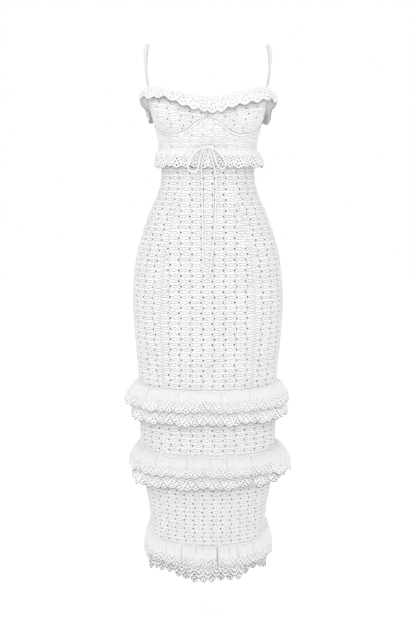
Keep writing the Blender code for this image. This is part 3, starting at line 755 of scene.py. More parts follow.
# name, radius, radius of the hole, height of the ring, sides
STAMPS = (
    ("body_eyelet", 0.0044, 0.0023, 0.0008, 10),
    ("lace_eyelet", 0.0030, 0.0014, 0.0007, 8),
    ("hem_eyelet", 0.0042, 0.0026, 0.0008, 9),
)
stamps = [eyelet_stamp(*row) for row in STAMPS]
body_tree, lace_tree, hem_tree = map(scatter_tree, stamps)
print("faces in an eyelet:", len(stamps[0].data.polygons))

# %% [markdown]
# The eyelets of the dress lie in upright columns 26.7 mm apart and in rows 12.8 mm apart, and every
# other row is shifted a little to the side, so that each column runs in a zigzag. They vary
# slightly in size, as embroidery does. Each panel has its own, turned with its grain, and the
# band above the hem is cut from a cloth with a smaller repeat.

# %% Eyelets of a panel
EYELET_MARGIN = 0.0044
PATTERN_REACH = 0.75
chance = np.random.default_rng(7)


def panel_eyelets(name, chart, first, last, top, bottom, tilt, size, repeat):
    rows = np.arange(-int(PATTERN_REACH / EYELET_ROW), int(PATTERN_REACH / EYELET_ROW))
    columns = np.arange(-int(PATTERN_REACH / EYELET_COLUMN), int(PATTERN_REACH / EYELET_COLUMN))
    row, column = [grid.ravel() for grid in np.meshgrid(rows, columns, indexing="ij")]
    across = (column + 0.5) * EYELET_COLUMN + np.where(row % 2 == 0, 0.5, -0.5) * EYELET_SHIFT
    down = (row + 0.5) * EYELET_ROW
    across, down = (repeat * way for way in turned(across, down, tilt))
    near = (down < 0) & (down > -chart.down[-1])
    across = across[near]
    down = down[near]
    turn, height = chart.to_place(across, down)
    side = EYELET_MARGIN / step_round(turn, height)
    inside = np.abs(chart.to_cloth(turn, height)[:, 0] - across) < 0.001
    inside &= (turn > first(height) + side) & (turn < last(height) - side)
    inside &= height < top(np.abs(around(turn))) - EYELET_MARGIN
    inside &= height > bottom(np.abs(around(turn))) + EYELET_MARGIN
    turn = turn[inside]
    height = height[inside]
    points = on_skin(turn, height, fold_depth(turn, height))
    sizes = size * chance.uniform(0.85, 1.08, len(turn))
    facing = outward(turn, height)
    return scatter(f"eyelets_{name}", body_tree, points, facing, sizes)


print("eyelet columns every", EYELET_COLUMN * 1000, "mm")

# %% [markdown]
# ## Panels
# A panel is bounded by two side edges, each a function of the height, and by a top and a bottom,
# each a function of the turn. A real maker cuts these shapes with darts and curves; here the body
# line already has the shape, so the panel only says which part of it belongs to which piece. The
# ruched cotton of the bodice gets smaller cells, so that its eyelets don't sink into the folds.

# %% Make a panel
SEAM = 0.0003
CELLS = {"embroidered_cotton": 0.0062, "ruched_cotton": 0.0040}


def always(value):
    return lambda key: np.full(np.shape(key), float(value))


def make_panel(name, grain, first, last, top, bottom, tilt, size, cotton, repeat):
    """One panel of embroidered cotton with its eyelets. The edges are functions."""
    heights = np.linspace(-0.09, -1.3, 300)
    span = np.linspace(-180, 360, 541)
    highest = float(np.max(top(np.abs(around(span)))))
    inside = heights[heights < highest]
    edge_low = float(np.min(first(inside)))
    edge_high = float(np.max(last(inside)))
    turns = np.linspace(edge_low, edge_high, 80)
    high = float(np.max(top(np.abs(around(turns)))))
    low = float(np.min(bottom(np.abs(around(turns)))))
    chart = Chart(grain, edge_low - 1, edge_high + 1, high + 0.002, low - 0.002)
    wide = float(np.ptp(chart.across, axis=1).max())
    columns = max(8, round(wide / CELLS[cotton]))
    rows = max(4, round(chart.down[-1] / CELLS[cotton]))

    def place(column, row):
        part = column / columns
        share = row / rows

        def between(heights):
            return first(heights) * (1 - part) + last(heights) * part

        turn = between(np.full(part.shape, (high + low) / 2))
        for _ in range(2):
            side = np.abs(around(turn))
            height = (top(side) - SEAM / 2) * (1 - share) + (bottom(side) + SEAM / 2) * share
            turn = between(height)
        turn = turn + SEAM / 2 / step_round(turn, height) * (1 - 2 * part)
        points = on_skin(turn, height, fold_depth(turn, height))
        cloth = turned(*chart.to_cloth(turn, height).T, -tilt)
        return points, np.stack(cloth, axis=-1) / repeat

    piece = lay_cloth(f"cloth_{name}", columns, rows, place, cottons[cotton], "eyelet_cotton")
    eyelets = panel_eyelets(name, chart, first, last, top, bottom, tilt, size, repeat)
    declare(piece, wide, float(chart.down[-1]))


print("cells of a panel:", CELLS)

# %% [markdown]
# ### Skirt
# The skirt has a centre front, two side fronts and two backs, joined by princess and side seams.
# Below the knee and the calf seams one band in front and one behind carry on the same line.

# %% Skirt
SKIRT_TOP = always(UNDER_BUST)
SKIRT = (SKIRT_TOP, knee_seam, 0.0, 1.0, "embroidered_cotton", 1.0)


def minus(function):
    return lambda key: -function(key)


make_panel("skirt_front_centre", 0, minus(princess), princess, *SKIRT)
make_panel("skirt_front_left", 60, princess, always(SIDE), *SKIRT)
make_panel("skirt_front_right", -60, always(-SIDE), minus(princess), *SKIRT)
make_panel("skirt_back_left", 178, always(SIDE), always(180), *SKIRT)
make_panel("skirt_back_right", -178, always(-180), always(-SIDE), *SKIRT)
# name, seam above, seam below, size of the eyelets, size of the repeat
BANDS = (
    ("knee_band", knee_seam, calf_seam, 1.0, 1.0),
    ("calf_band", calf_seam, hem_seam, 0.92, 0.85),
)
for band, above, under, size, repeat in BANDS:
    rest = (above, under, 0.0, size, "embroidered_cotton", repeat)
    make_panel(f"{band}_front", 0, always(-SIDE), always(SIDE), *rest)
    make_panel(f"{band}_back", 180, always(SIDE), always(360 - SIDE), *rest)
print("skirt pieces:", len(sheets))

# %% [markdown]
# ### Bodice
# Each cup is two panels, and the outer one is cut on the cross, so its rows of eyelets run aslant.
# The midriff between the cups and the ruffle below is ruched, and the backs meet at the zip.

# %% Bodice
# name, grain, the two turns it lies between on the left, edges above and below, tilt of its rows,
# size of its eyelets, cotton
BODICE = (
    ("cup_inner", 22, 0, CUP_SPLIT, top_edge, cup_seam, 8.0, 0.78, "ruched_cotton"),
    ("cup_outer", 62, CUP_SPLIT, SIDE, top_edge, cup_seam, 38.0, 0.72, "ruched_cotton"),
    ("bodice_back", 150, SIDE, 180, top_edge, SKIRT_TOP, 0.0, 1.0, "embroidered_cotton"),
)
for side, sign in (("left", 1), ("right", -1)):
    for name, grain, near, far, above, under, tilt, size, cotton in BODICE:
        first, last = (always(turn) for turn in sorted((sign * near, sign * far)))
        rest = (sign * tilt, size, cotton, 1.0)
        make_panel(f"{name}_{side}", sign * grain, first, last, above, under, *rest)
rest = (cup_seam, SKIRT_TOP, 0.0, 0.64, "ruched_cotton", 1.0)
make_panel("bodice_midriff", 0, always(-SIDE), always(SIDE), *rest)
print("panels:", len(sheets))

# %% [markdown]
# ## Ruffles
# A ruffle is a strip of edging, longer than the seam it is sewn into, so it stands out in waves.
# Near the seam the extra cloth lies in many small gathers, and further down they join into a few
# large waves. The edge is cut in scallops. Cloth simulation could find such waves, but not the ones
# in the photograph, so here the waves are sums of sines, with the same main wave as the solid.

# %% Tables of ruffles
# turn, how far the edge stands out, how far it drops
NECKLINE_FALL = table(
    TURN_AND_LENGTHS,
    (-180, 100, 260), (-115, 100, 220), (-96, 90, 150), (-86, 80, 130), (-79, 140, 130),
    (-72, 170, 180), (-60, 140, 220), (-44, 100, 250), (-30, 90, 210), (-18, 80, 250),
    (0, 70, 330), (18, 90, 310), (40, 110, 310), (60, 150, 280), (72, 190, 230), (79, 180, 160),
    (86, 140, 180), (96, 130, 220), (115, 110, 240), (180, 100, 260),
)
UNDER_BUST_FALL = table(
    TURN_AND_LENGTHS,
    (-180, 120, 350), (-90, 125, 350), (-60, 110, 360), (-20, 95, 360), (-9, 65, 360),
    (0, 32, 360), (9, 65, 360), (20, 95, 360), (60, 125, 360), (90, 180, 360), (180, 120, 350),
)
KNEE_FALL = table(
    TURN_AND_LENGTHS,
    (-180, 220, 510), (-120, 300, 520), (-90, 330, 500), (-60, 240, 470), (0, 180, 430),
    (60, 220, 450), (90, 280, 470), (120, 300, 500), (180, 220, 510),
)
KNEE_UNDER_FALL = table(
    TURN_AND_LENGTHS,
    (-180, 140, 830), (-90, 190, 860), (-50, 130, 810), (0, 110, 775), (50, 150, 770),
    (90, 270, 800), (130, 220, 830), (180, 140, 830),
)
CALF_FALL = table(
    TURN_AND_LENGTHS,
    (-180, 210, 550), (-120, 250, 580), (-90, 270, 550), (-45, 210, 405), (0, 180, 395),
    (45, 230, 395), (75, 360, 530), (90, 410, 600), (120, 360, 580), (180, 210, 550),
)
CALF_UNDER_FALL = table(
    TURN_AND_LENGTHS,
    (-180, 140, 840), (-120, 220, 870), (-90, 260, 860), (-45, 140, 750), (0, 110, 730),
    (45, 150, 690), (75, 260, 690), (90, 300, 710), (120, 260, 760), (180, 140, 840),
)
HEM_FALL = table(
    TURN_AND_LENGTHS,
    (-180, 120, 800), (-130, 150, 820), (-95, 150, 780), (-70, 120, 510), (-35, 100, 410),
    (0, 100, 420), (35, 100, 440), (70, 130, 500), (95, 190, 760), (130, 190, 800),
    (180, 120, 800),
)
HEM_UNDER_FALL = table(
    TURN_AND_LENGTHS,
    (-180, 60, 1100), (-95, 60, 1080), (-75, 40, 820), (-55, 40, 620), (-32, 50, 560),
    (-25, 70, 700), (28, 70, 710), (34, 50, 650), (42, 40, 530), (62, 40, 650), (80, 40, 890),
    (95, 60, 1070), (180, 60, 1100),
)
SCALLOPS_A_WAVE = 2
FALL_CURVE = 2.2
UNEVEN_MEAN = 0.68
UNEVEN_SWING = 0.22
UNEVEN_RATE = 0.11
LAY_GAP = 0.0004
RUFFLE_WALL = 0.0012
UNDER_START = LAY_GAP
UPPER_START = 2 * LAY_GAP + RUFFLE_WALL
SEAT_SHARE = 0.10  # of its depth, in which a ruffle comes out from its seam
ZIP_TURN_GAP = 1.2

# %% [markdown]
# Along the seam, equal lengths of cloth take equal lengths of ruffle, so the steep edge at the
# armhole gets its share. The function below lays any place of a ruffle, given as a number of
# scallops along it and a share of its depth, and both its cloth and its eyelets use it. Small
# random gathers fade out down the cloth, slow drifts grow, and sags make the edge uneven.

# %% Lay a place of a ruffle
# how many, how high, and how long: the gathers in metres, the others in scallops
GATHERS = (5, (0.0003, 0.0008), (0.008, 0.024))
DRIFTS = (4, (0.0003, 0.0008), (2.2, 5.5))
SAGS = (3, (0.0006, 0.0014), (2.6, 7.0))
PLEAT_RISE = 0.35
PLEAT_SHARE = 0.3
GATHER_SHARE = 0.12
SEAT = 0.0002


def seam_curve(edge, first, last, scallops):
    fine = np.linspace(first, last, 800)
    points = skin(fine, edge(np.abs(around(fine))))
    steps = np.linalg.norm(np.diff(points, axis=0), axis=-1)
    lengths = np.concatenate([[0.0], np.cumsum(steps)])
    return lambda along: np.interp(along / scallops * lengths[-1], lengths, fine), lengths[-1]


def pleat_depth(side, part, pleats):
    """Flat pleats: the cloth stands up at one turn and sinks again to one side of it."""
    depth = np.zeros(np.shape(side))
    for turn, rise, width, _, _ in pleats:
        off = (side - turn) * np.sign(width)
        fold = np.exp(-np.clip(off, 0, None) / abs(width)) / (1 + np.exp(-off / PLEAT_RISE))
        depth += rise * fold
    return depth * np.minimum(part / PLEAT_SHARE, 1.0)


def lobe_of(along, roundness):
    """The shape of a scalloped edge: 0 in each notch and 1 at the tip of each lobe."""
    return np.abs(np.sin(math.pi * along)) ** roundness


def random_waves(notes, kind, pitch=1.0):
    """The size, length and start of some sines."""
    count, sizes, lengths = kind
    return [
        (notes.uniform(*sizes), notes.uniform(*lengths) / pitch, notes.uniform(0, 6.3))
        for _ in range(count)
    ]


def sum_of(waves, along):
    return sum(size * np.sin(2 * math.pi * along / rate + at) for size, rate, at in waves)


def ruffle_place(
    edge, first, last, scallops, fall, start, wave, scallop, phase, seed, pleats, lobe
):
    turn_at, length = seam_curve(edge, first, last, scallops)
    out_of = curve_through(fall, 1)
    drop_of = curve_through(fall, 2)
    notes = np.random.default_rng(seed)
    gathers = random_waves(notes, GATHERS, length / scallops)
    drifts = random_waves(notes, DRIFTS)
    sags = random_waves(notes, SAGS)

    def place(along, part, out=0.0, below=0.0):
        turn = turn_at(along)
        side = around(turn)
        gather = np.cos(2 * math.pi * along / SCALLOPS_A_WAVE + phase)
        uneven = UNEVEN_MEAN + UNEVEN_SWING * np.sin(turn * UNEVEN_RATE + phase)
        reach = np.minimum(out_of(side) / wave, 1.0)
        swing = wave * gather * uneven * part * reach
        small = sum_of(gathers, along) * np.minimum(part / GATHER_SHARE, 1.0)
        small = small * np.clip(1.15 - part, 0, 1) * reach
        rise = out_of(side) * (1 - (1 - part) ** FALL_CURVE)
        low = np.clip(part * 3 - 2, 0, 1)
        lobes = scallop * lobe_of(along, lobe) + sum_of(sags, along) * reach
        drop = drop_of(side) * part + lobes * low
        seat = SEAT + 0.5 * start
        leave = np.minimum(part / SEAT_SHARE, 1.0)
        away = seat + (start + RUFFLE_WALL - seat) * leave + rise + swing + small
        away = away + sum_of(drifts, along) * part * reach + pleat_depth(side, part, pleats)
        return on_skin(turn, edge(np.abs(side)) - drop - below, away + out)

    place.turn_at = turn_at
    place.lobe = lobe
    return place, length


print("a ruffle comes out from its seam in", SEAT_SHARE, "of its depth")

# %% [markdown]
# The lower half of each strip is embroidered: small eyelets follow the scallop in arcs, with a
# little cluster above them, and the cut edge is bound with thick satin stitch. The binding is a
# thin tube along the edge, made from a curve and then kept as a mesh. A grey tube under it is
# painted shadow, the shade that the bound edge casts on the cloth below.

# %% Eyelets and binding of a ruffle
# place in the scallop from -0.5 to 0.5, distance above its edge in metres, size
LACE_EYELETS = table(
    (PERCENT, TENTHS, PERCENT),
    (-30, 50, 100), (0, 44, 110), (30, 50, 100), (-15, 108, 95), (17, 114, 95), (-50, 120, 85),
    (2, 172, 100), (-34, 182, 85), (36, 196, 75), (-14, 240, 80), (20, 262, 70),
)
# the same for the deep lobes of the hem, whose lace is denser
HEM_EYELETS = table(
    (PERCENT, TENTHS, PERCENT),
    (-26, 44, 100), (0, 40, 110), (26, 44, 100), (-13, 94, 105), (13, 98, 100), (-40, 88, 90),
    (40, 88, 90), (0, 144, 110), (-27, 150, 90), (27, 154, 95), (-13, 200, 85), (14, 206, 80),
    (-42, 192, 85), (42, 198, 80),
)
# what a layer is: its cloth, its eyelet, the eyelets' places and size, the thickness and drop of
# the grey line of painted shadow under its edge, and the form of its lobes: 1 is a row of round
# arches, and 2 is an even wave
LAYERS = {
    "neckline": (ruffle_cotton, lace_tree, LACE_EYELETS, 0.95, 0.0008, 0.0015, 1.45),
    "under_bust": (ruffle_cotton, lace_tree, LACE_EYELETS, 1.2, 0.0009, 0.0016, 1.45),
    "upper": (ruffle_cotton, lace_tree, LACE_EYELETS, 1.1, 0.0009, 0.0016, 1.45),
    "hem_upper": (ruffle_cotton, lace_tree, LACE_EYELETS, 1.3, 0.0011, 0.0018, 1.2),
    "under": (under_cotton, lace_tree, LACE_EYELETS, 1.2, 0.0012, 0.0020, 1.45),
    "hem_under": (under_cotton, hem_tree, HEM_EYELETS, 0.88, 0.0013, 0.0021, 0.75),
}
BINDING = 0.0014
HEADING = 0.0015
PLEAT_SHADOW_OFF = 0.7


def lace_eyelets(name, place, scallops, depth, scallop, tree, spots, size):
    spots = np.array(spots)
    first = np.repeat(np.arange(scallops), len(spots))
    spot = np.tile(spots, (scallops, 1))
    along = first + 0.5 + spot[:, 0]
    shadow_drop = depth + scallop * lobe_of(along, place.lobe)
    part = 1 - spot[:, 1] / shadow_drop
    keep = (along > 0.12) & (along < scallops - 0.12) & (part > 0.38)
    along = along[keep]
    part = part[keep]
    lobes = np.repeat(chance.uniform(0.86, 1.12, scallops), len(spots))
    sizes = size * spot[keep, 2] * lobes[keep] * chance.uniform(0.85, 1.1, len(along))
    points = place(along, part, 0.0)
    right = place(along + 0.04, part) - place(along - 0.04, part)
    up = place(along, part - 0.03) - place(along, np.minimum(part + 0.03, 1.0))
    facing = unit(np.cross(right, up))
    return scatter(f"lace_{name}", tree, points, facing, sizes)


def add_curve(name, points, radius, resolution):
    """A round line through the points."""
    line = bpy.data.curves.new(name, "CURVE")
    line.dimensions = "3D"
    line.bevel_depth = radius
    line.bevel_resolution = resolution
    line.use_fill_caps = True
    spline = line.splines.new("POLY")
    spline.points.add(len(points) - 1)
    spline.points.foreach_set("co", np.c_[points, np.ones(len(points))].ravel())
    return line, spline


def tube(name, points, radius, material, sides=6, closed=False):
    """A thin tube along a line of points, kept as a plain mesh."""
    line, spline = add_curve(name, points, radius, max(0, sides // 2 - 2))
    spline.use_cyclic_u = closed
    holder = bpy.data.objects.new(name, line)
    scene.collection.objects.link(holder)
    mesh = keep_mesh(name, holder)
    mesh.shade_smooth()
    mesh.materials.clear()
    mesh.materials.append(material)
    return add_piece(name, mesh)


print("kinds of ruffle:", len(LAYERS))

# %% [markdown]
# A ruffle is its cloth, its eyelets, the binding and a grey line of painted shadow under its edge.
# The upper one of two layers also has a heading, the stitched ridge at its seam, and pleat shadows:
# thin grey lines of painted shade beside each pleat, where the cloth folds over and shades itself.
# The tables place each pleat one by one.

# %% Make a ruffle
SCALLOP_CELLS = 12
RUFFLE_ROWS = 16
CLOTH_RUFFLE_WALL = 0.0007
END_GAP = 0.02
PLEAT_SHADOW_TOP = 0.04
PLEAT_SHADOW_POINTS = 24


def make_ruffle(
    name, edge, ends, scallops, fall, start, wave, scallop, phase, carrier, seed, pleats, layer
):
    cotton, tree, spots, size, edge_roll_or_shadow, shadow_drop, lobe = LAYERS[layer]
    place, length = ruffle_place(
        edge, *ends, scallops, fall, start, wave, scallop, phase, seed, pleats, lobe
    )
    columns = scallops * SCALLOP_CELLS
    depth = float(np.mean([row[2] for row in fall]))
    slot = "ruffle_cotton"

    def lay(column, row):
        along = column / SCALLOP_CELLS
        part = row / RUFFLE_ROWS
        cloth = np.stack([along / scallops * length, -part * depth], axis=-1)
        return place(along, part), cloth

    piece = lay_cloth(f"cloth_{name}", columns, RUFFLE_ROWS, lay, cotton, slot, CLOTH_RUFFLE_WALL)
    lace = lace_eyelets(name, place, scallops, depth, scallop, tree, spots, size)
    along = np.clip(np.linspace(0, scallops, columns + 1), END_GAP, scallops - END_GAP)
    end = np.ones(len(along))
    edge_line = place(along, end, -CLOTH_RUFFLE_WALL / 2)
    binding = tube(f"binding_{name}", edge_line, BINDING / 2, thread)
    edge_shadow_line = place(along, end, -CLOTH_RUFFLE_WALL, shadow_drop)
    # painted shadow: a grey tube under the bound edge
    edge_shadow = tube(f"edging_{name}", edge_shadow_line, edge_roll_or_shadow, shadow_grey)
    numbers = np.linspace(0, scallops, 600)
    turns = place.turn_at(numbers)
    for number, (turn, rise, width, share, thick) in enumerate(pleats):
        if ends[0] < turn < ends[1]:
            nearest = np.interp(turn - np.sign(width) * PLEAT_SHADOW_OFF, turns, numbers)
            parts = np.linspace(PLEAT_SHADOW_TOP, share, PLEAT_SHADOW_POINTS)
            line = place(np.full(PLEAT_SHADOW_POINTS, nearest), parts, 0.0)
            # painted shade: a thin grey line beside the pleat
            tube(f"crease_{name}_{number}", line, thick, shadow_grey)
    if layer not in ("under", "hem_under"):
        seam = place(along, 0 * end, -CLOTH_RUFFLE_WALL)
        tube(f"heading_{name}", seam, HEADING, thread)
    strip = sheets[piece.name] / length
    declare(piece, length, max(strip, 0.01))


BACK_END = 180 - ZIP_TURN_GAP
# name, edge, fall, wave, scallops in front, scallops in each back, what the front lies on
PARTED = (
    ("neckline", top_edge, NECKLINE_FALL, 0.0038, 20, 9, "cloth_cup_inner_left"),
    ("under_bust", always(UNDER_BUST), UNDER_BUST_FALL, 0.0040, 16, 7, "cloth_bodice_midriff"),
)
for layer, edge, fall, wave, scallops, back_scallops, front_carrier in PARTED:
    parts = (
        ("front", (-SIDE, SIDE), scallops, front_carrier),
        ("back_left", (SIDE, BACK_END), back_scallops, "cloth_bodice_back_left"),
        ("back_right", (-BACK_END, -SIDE), back_scallops, "cloth_bodice_back_right"),
    )
    for seed, (part, ends, count, carrier) in enumerate(parts, 1):
        rest = (count, fall, UNDER_START, wave, 0.0055, 0.0, carrier, seed, (), layer)
        make_ruffle(f"{layer}_ruffle_{part}", edge, ends, *rest)
# name, seam, wave, scallops in each half, phase, what it hangs over
TIERS = (
    ("knee_ruffle", knee_seam, 0.0042, 22, 0.0, "knee_band"),
    ("calf_ruffle", calf_seam, 0.0046, 22, 1.1, "calf_band"),
    ("hem_ruffle", hem_seam, 0.0036, 18, 2.3, "calf_band"),
)
# the fall and the depth of a scallop, in the upper and then in the under layer
TIER_FALLS = {
    "knee_ruffle": (KNEE_FALL, 0.0058, KNEE_UNDER_FALL, 0.0064),
    "calf_ruffle": (CALF_FALL, 0.0058, CALF_UNDER_FALL, 0.0064),
    "hem_ruffle": (HEM_FALL, 0.0065, HEM_UNDER_FALL, 0.014),
}
FOLDED = (1, TENTHS, 1, 1, TENTHS)
# turn, how far the cloth stands up, how many degrees it takes to sink and to which side, then how
# far down its painted shadow line shows and that line's thickness
PLEATS = {
    "knee_ruffle": table(
        FOLDED,
        (-52, 26, -5, 0.45, 3), (-21, 18, 4, 0.3, 3), (9, 18, 4, 0.35, 3), (33, 30, 5, 0.85, 3),
    ),
    "calf_ruffle": table(
        FOLDED,
        (-44, 28, -5, 0.45, 3), (-14, 30, 5, 0.65, 3), (0.5, 22, -4, 0.5, 3),
        (12.5, 38, -5, 0.8, 4), (36, 26, 5, 0.4, 3),
    ),
    "hem_ruffle": table(
        FOLDED,
        (-41, 40, 5, 0.55, 4), (-24.2, 50, -6, 0.97, 5), (-9, 24, 5, 0.35, 4),
        (6.6, 55, -5, 0.97, 6), (8.6, 55, 5, 0.8, 7), (18, 22, -4, 0.4, 4), (28.6, 40, 5, 0.7, 5),
        (46.5, 40, -6, 0.6, 4),
    ),
}
for name, edge, wave, scallops, phase, carrier in TIERS:
    upper_fall, upper_scallop, under_fall, under_scallop = TIER_FALLS[name]
    upper = (scallops, upper_fall, UPPER_START, wave, upper_scallop, phase)
    under = (scallops, under_fall, UNDER_START, wave, under_scallop, phase)
    kind = "hem_" if name == "hem_ruffle" else ""
    for half, *ends in (("front", -SIDE, SIDE), ("back", SIDE, 360 - SIDE)):
        over = f"cloth_{carrier}_{half}"
        rest = (*upper, over, 11, PLEATS[name], f"{kind}upper")
        make_ruffle(f"{name}_upper_{half}", edge, ends, *rest)
        rest = (*under, over, 12, (), f"{kind}under")
        make_ruffle(f"{name}_under_{half}", edge, ends, *rest)
print("ruffles and panels:", len(sheets))

# %% [markdown]
# ## Smooth routes
# Straps and cords follow routes of a few listed points. The function runs a smooth curve
# through them and gives points evenly along it, and the curve's length.

# %% Smooth routes
def smooth_route(points, count):
    """Points spaced evenly along a smooth curve through a route's own points."""
    route = [np.array(point, float) for point in points]
    route = [2 * route[0] - route[1]] + route + [2 * route[-1] - route[-2]]
    fine = []
    for a, b, c, d in zip(route, route[1:], route[2:], route[3:]):
        for part in np.linspace(0, 1, 12, endpoint=False):
            bend = 2 * a - 5 * b + 4 * c - d
            twist = 3 * b - a - 3 * c + d
            fine.append(0.5 * (2 * b + (c - a) * part + bend * part**2 + twist * part**3))
    fine.append(route[-2])
    fine = np.array(fine)
    steps = np.linalg.norm(np.diff(fine[:, :3], axis=0), axis=1)
    lengths = np.concatenate([[0], np.cumsum(steps)])
    even = np.linspace(0, lengths[-1], count)
    return np.stack([np.interp(even, lengths, column) for column in fine.T], axis=1), lengths[-1]

# %% [markdown]
# ## Straps
# A strap is a narrow tube of cotton pressed flat. It is laid like the other cloth, along a smooth
# route from the top of the cup over the shoulder to the back, and turns with the body as it goes.

# %% Straps
# x, y, height, and the direction of the strap's width as a turn about Z from +X
STRAP_ROUTE = table(
    (TENTHS, TENTHS, TENTHS, 1),
    (1440, -290, -820, 75), (1475, -300, -600, 62), (1495, -260, -360, 42), (1480, -160, -120, 18),
    (1430, 0, 0, 0), (1480, 170, -110, -22), (1512, 320, -380, -45), (1505, 400, -680, -60),
    (1465, 430, -980, -68), (1405, 425, -1250, -72),
)
STRAP_WALL = 0.0014
STRAP_INSIDE = -0.0015
STRAP_ROWS = 4
STRAP_WIDTH = 0.0085
STRAP_FRONT_TURN = 74.0
STRAP_BACK_TURN = 112.0
STRAP_SEAT = 0.0011
STRAP_OVERLAP = 0.009
STRAP_RISE = 0.004
STRAP_CELLS = 90


def make_strap(side, mirror):
    inside = STRAP_INSIDE - STRAP_SEAT - STRAP_WALL / 2
    ends = []
    for turn in (STRAP_FRONT_TURN, STRAP_BACK_TURN):
        low_height = float(top_edge(turn)) - STRAP_OVERLAP
        low = on_skin(turn, low_height, inside)
        high = on_skin(turn, float(top_edge(turn)) + STRAP_RISE, inside)
        facing = outward(turn, low_height)
        width_turn = math.degrees(math.atan2(facing[0], -facing[1]))
        if width_turn > 90:
            width_turn -= 180
        ends.append(((*low, width_turn), (*high, width_turn)))
    route = (ends[0][0], ends[0][1], *STRAP_ROUTE, ends[1][1], ends[1][0])
    points, length = smooth_route(route, STRAP_CELLS + 1)
    along = unit(np.gradient(points[:, :3], axis=0))
    angle = np.radians(points[:, 3])
    wide = np.stack([np.cos(angle), np.sin(angle), np.zeros(len(angle))], axis=-1)
    wide = unit(wide - along * np.sum(wide * along, axis=-1, keepdims=True))
    up = unit(np.cross(along, wide))

    def lay(column, row):
        i = column.astype(int)
        share = row / STRAP_ROWS - 0.5
        edge_roll_or_shadow = -0.0003 * np.abs(share * 2) ** 3
        at = points[i, :3] + wide[i] * (share * STRAP_WIDTH)[:, None]
        at = at + up[i] * (STRAP_WALL / 2 + edge_roll_or_shadow)[:, None]
        at[:, 0] *= mirror
        cloth = np.stack([share * STRAP_WIDTH, column / STRAP_CELLS * length], axis=-1)
        return at, cloth

    piece = lay_cloth(
        f"cloth_strap_{side}", STRAP_CELLS, STRAP_ROWS, lay, strap_cotton, "strap_cotton", 0.0
    )
    thicken(piece, STRAP_WALL, -mirror)
    soft = piece.modifiers.new("soft_edges", "BEVEL")
    soft.width = 0.0003
    soft.segments = 2
    soft.limit_method = "ANGLE"
    declare(piece, 0.010, length)
    return length


strap_length = make_strap("left", 1)
make_strap("right", -1)
print("each strap is", round(strap_length, 3), "m long")

# %% [markdown]
# ## Seams
# Princess, side and cup seams show as a narrow raised line where two layers of cloth are pressed
# under. A thin half-sunk tube along each seam gives that line. Over the seams under the cups lies
# a rounded strip of piping, with a thin grey tube of painted shade along each of its sides.

# %% Seam lines
SEAM_SUNK = 0.35
ZIP_SEAM_TURN = 2.6


def seam_line(name, turn_of, high, low, radius=0.0008, count=120):
    heights = np.linspace(high, low, count)
    turns = turn_of(heights)
    points = on_skin(turns, heights, fold_depth(turns, heights) - radius * SEAM_SUNK)
    return tube(name, points, radius, ruffle_cotton)


for side, turn_of in (("left", princess), ("right", minus(princess))):
    seam_line(f"seam_princess_{side}", turn_of, UNDER_BUST, float(knee_seam(36)))
for side, sign in (("left", 1), ("right", -1)):
    seam_line(f"seam_side_{side}", always(sign * SIDE), -0.186, float(hem_seam(SIDE)), 0.0009, 200)
    seam_line(f"seam_cup_{side}", always(sign * CUP_SPLIT), -0.106, -0.2140, 0.0010, 40)
    zip_edge = always(sign * (180 - ZIP_SEAM_TURN))
    seam_line(f"seam_zip_{side}", zip_edge, -0.192, float(knee_seam(180)), 0.0006)
print("seam lines done")

PIPING_ENDS = (5.5, 82.5)
PIPING_WIDTH = 0.0044
PIPING_RISE = 0.0016
PIPING_LAY = 0.0004
PIPING_ROUND = 3.9
PIPING_SHADOW = 0.0005
PIPING_CELLS = (110, 6)


def make_piping(side, sign):
    """A rounded strip of plain cotton, laid over the seam under a cup."""

    def lay(column, row):
        turn = PIPING_ENDS[0] + (PIPING_ENDS[1] - PIPING_ENDS[0]) * column / PIPING_CELLS[0]
        across = 0.5 - row / PIPING_CELLS[1]
        height = cup_seam(turn) + PIPING_WIDTH * across
        out = PIPING_LAY + PIPING_RISE * np.sqrt(1 - PIPING_ROUND * across**2)
        return on_skin(sign * turn, height, out), np.stack([turn * 0.002, across * 0.004], axis=-1)

    name = f"cup_piping_{side}"
    turns = np.linspace(*PIPING_ENDS, 110)
    for place, off in (("above", 1), ("below", -1)):
        heights = cup_seam(turns) + off * (PIPING_WIDTH / 2 + PIPING_SHADOW)
        line = on_skin(sign * turns, heights, PIPING_SHADOW * 0.6)
        # painted shade: a thin grey line along the piping's side
        tube(f"stitch_{place}_{name}", line, PIPING_SHADOW, shadow_grey)
    lay_cloth(f"cloth_{name}", *PIPING_CELLS, lay, thread, "strap_cotton", 0.0)


for side, sign in (("left", 1), ("right", -1)):
    make_piping(side, sign)
print("piping done")

# %% [markdown]
# ## Drawstring
# A narrow sewn cord is tied in a bow at the front: a knot, two drooping loops and two long tails.
# Each cord is a curve through listed points, and the tails follow the front of the dress.

# %% Drawstring
CORD_WIDTH = 0.0042
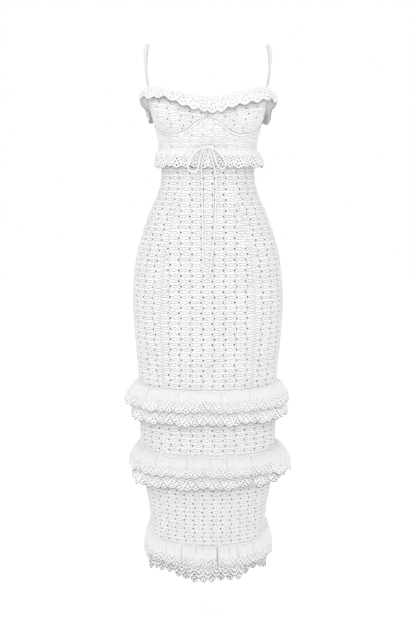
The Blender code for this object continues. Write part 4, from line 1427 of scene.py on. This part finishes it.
# x, height, and how far the cord's middle lies out from the dress
TAIL_RIGHT = table(
    LENGTHS,
    (-34, -2480, 50), (-85, -2570, 76), (-125, -2720, 92), (-145, -2880, 100), (-145, -3020, 62),
    (-138, -3180, 28), (-135, -3500, 28), (-128, -3900, 28), (-118, -4300, 28), (-116, -4700, 28),
    (-112, -5050, 28), (-88, -5330, 28),
)
TAIL_LEFT = table(
    LENGTHS,
    (22, -2480, 50), (66, -2570, 76), (100, -2710, 92), (135, -2870, 100), (172, -3010, 62),
    (192, -3180, 28), (190, -3500, 28), (178, -3900, 28), (166, -4250, 28), (137, -4600, 28),
    (103, -4950, 28), (62, -5250, 28), (42, -5420, 28),
)
LOOP_RIGHT = table(
    LENGTHS,
    (-63, -2428, 42), (-140, -2445, 92), (-240, -2510, 125), (-330, -2620, 158),
    (-395, -2760, 184), (-415, -2890, 192), (-365, -2985, 186), (-280, -2990, 176),
    (-215, -2915, 166), (-190, -2780, 150), (-165, -2640, 125), (-125, -2535, 100),
    (-85, -2465, 72), (-50, -2440, 46),
)
LOOP_LEFT = table(
    LENGTHS,
    (47, -2428, 42), (125, -2448, 92), (215, -2515, 125), (300, -2625, 160), (360, -2745, 185),
    (375, -2845, 192), (335, -2910, 188), (265, -2905, 180), (205, -2830, 170), (172, -2720, 152),
    (145, -2610, 128), (110, -2520, 100), (75, -2465, 72), (40, -2445, 46),
)
KNOT_AT = (-0.0008, -0.2430, 0.0041)


def front_point(x, height, out):
    """A point in front of the dress, from its x, its height and how far out it lies."""
    part = min(abs(x) / float(half_width(height)), 1.0) ** (SQUARENESS / 2.0)
    turn = math.copysign(math.degrees(math.asin(part)), x)
    return on_skin(turn, height, out)


def make_cord(name, route, count):
    points, length = smooth_route([front_point(*place) for place in route], count)
    line, spline = add_curve(f"soft_{name}", points, CORD_WIDTH / 2, 4)
    spline.use_smooth = True
    line.materials.append(cord_cotton)
    piece = add_piece(f"soft_{name}", line)
    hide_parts(name)
    print(name, "is", round(float(length), 3), "m long")


make_cord("drawstring_tail_right", TAIL_RIGHT, 70)
make_cord("drawstring_tail_left", TAIL_LEFT, 72)
make_cord("drawstring_loop_right", LOOP_RIGHT, 40)
make_cord("drawstring_loop_left", LOOP_LEFT, 42)

# %% [markdown]
# The knot is where the cord wraps over itself. A short thick wrap with two strands that cross is
# enough at this size: two small closed tubes turned against each other.

# %% Knot
KNOT_THICKNESS = 0.46
KNOT_BACK = np.array([0, -0.0004, 0])


def knot_strand(name, tilt, size):
    steps = np.linspace(0, 2 * math.pi, 28, endpoint=False)
    x, z = turned(np.cos(steps) * size[0], np.sin(steps) * size[2], tilt)
    middle = front_point(*KNOT_AT) + KNOT_BACK
    points = np.stack([x, np.sin(2 * steps) * size[1], z], axis=-1) + middle
    radius = CORD_WIDTH * KNOT_THICKNESS
    return tube(name, points, radius, cord_cotton, sides=8, closed=True)


knot_wrap = knot_strand("knot_wrap", 12, (0.0034, 0.0005, 0.0022))
knot_strand("knot_cross", -58, (0.0030, 0.0007, 0.0018))
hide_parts("drawstring_knot")
print("knot tied")

# %% [markdown]
# ## Zip
# The concealed zip at the centre back shows only its slider and pull tab, whose solids already have
# the right shape, so they keep it and get a coat of white enamel. The tape gets plain cotton. The
# eyelets that were copied from are no longer needed, and go.

# %% Zip
for node, coat in (("zip_tape", tape_cotton), ("zip_slider", enamel), ("zip_pull", enamel)):
    solid = bpy.data.objects[node]
    solid.data.materials.clear()
    solid.data.materials.append(coat)
for stamp in stamps:
    bpy.data.objects.remove(stamp)
print("zip finished")
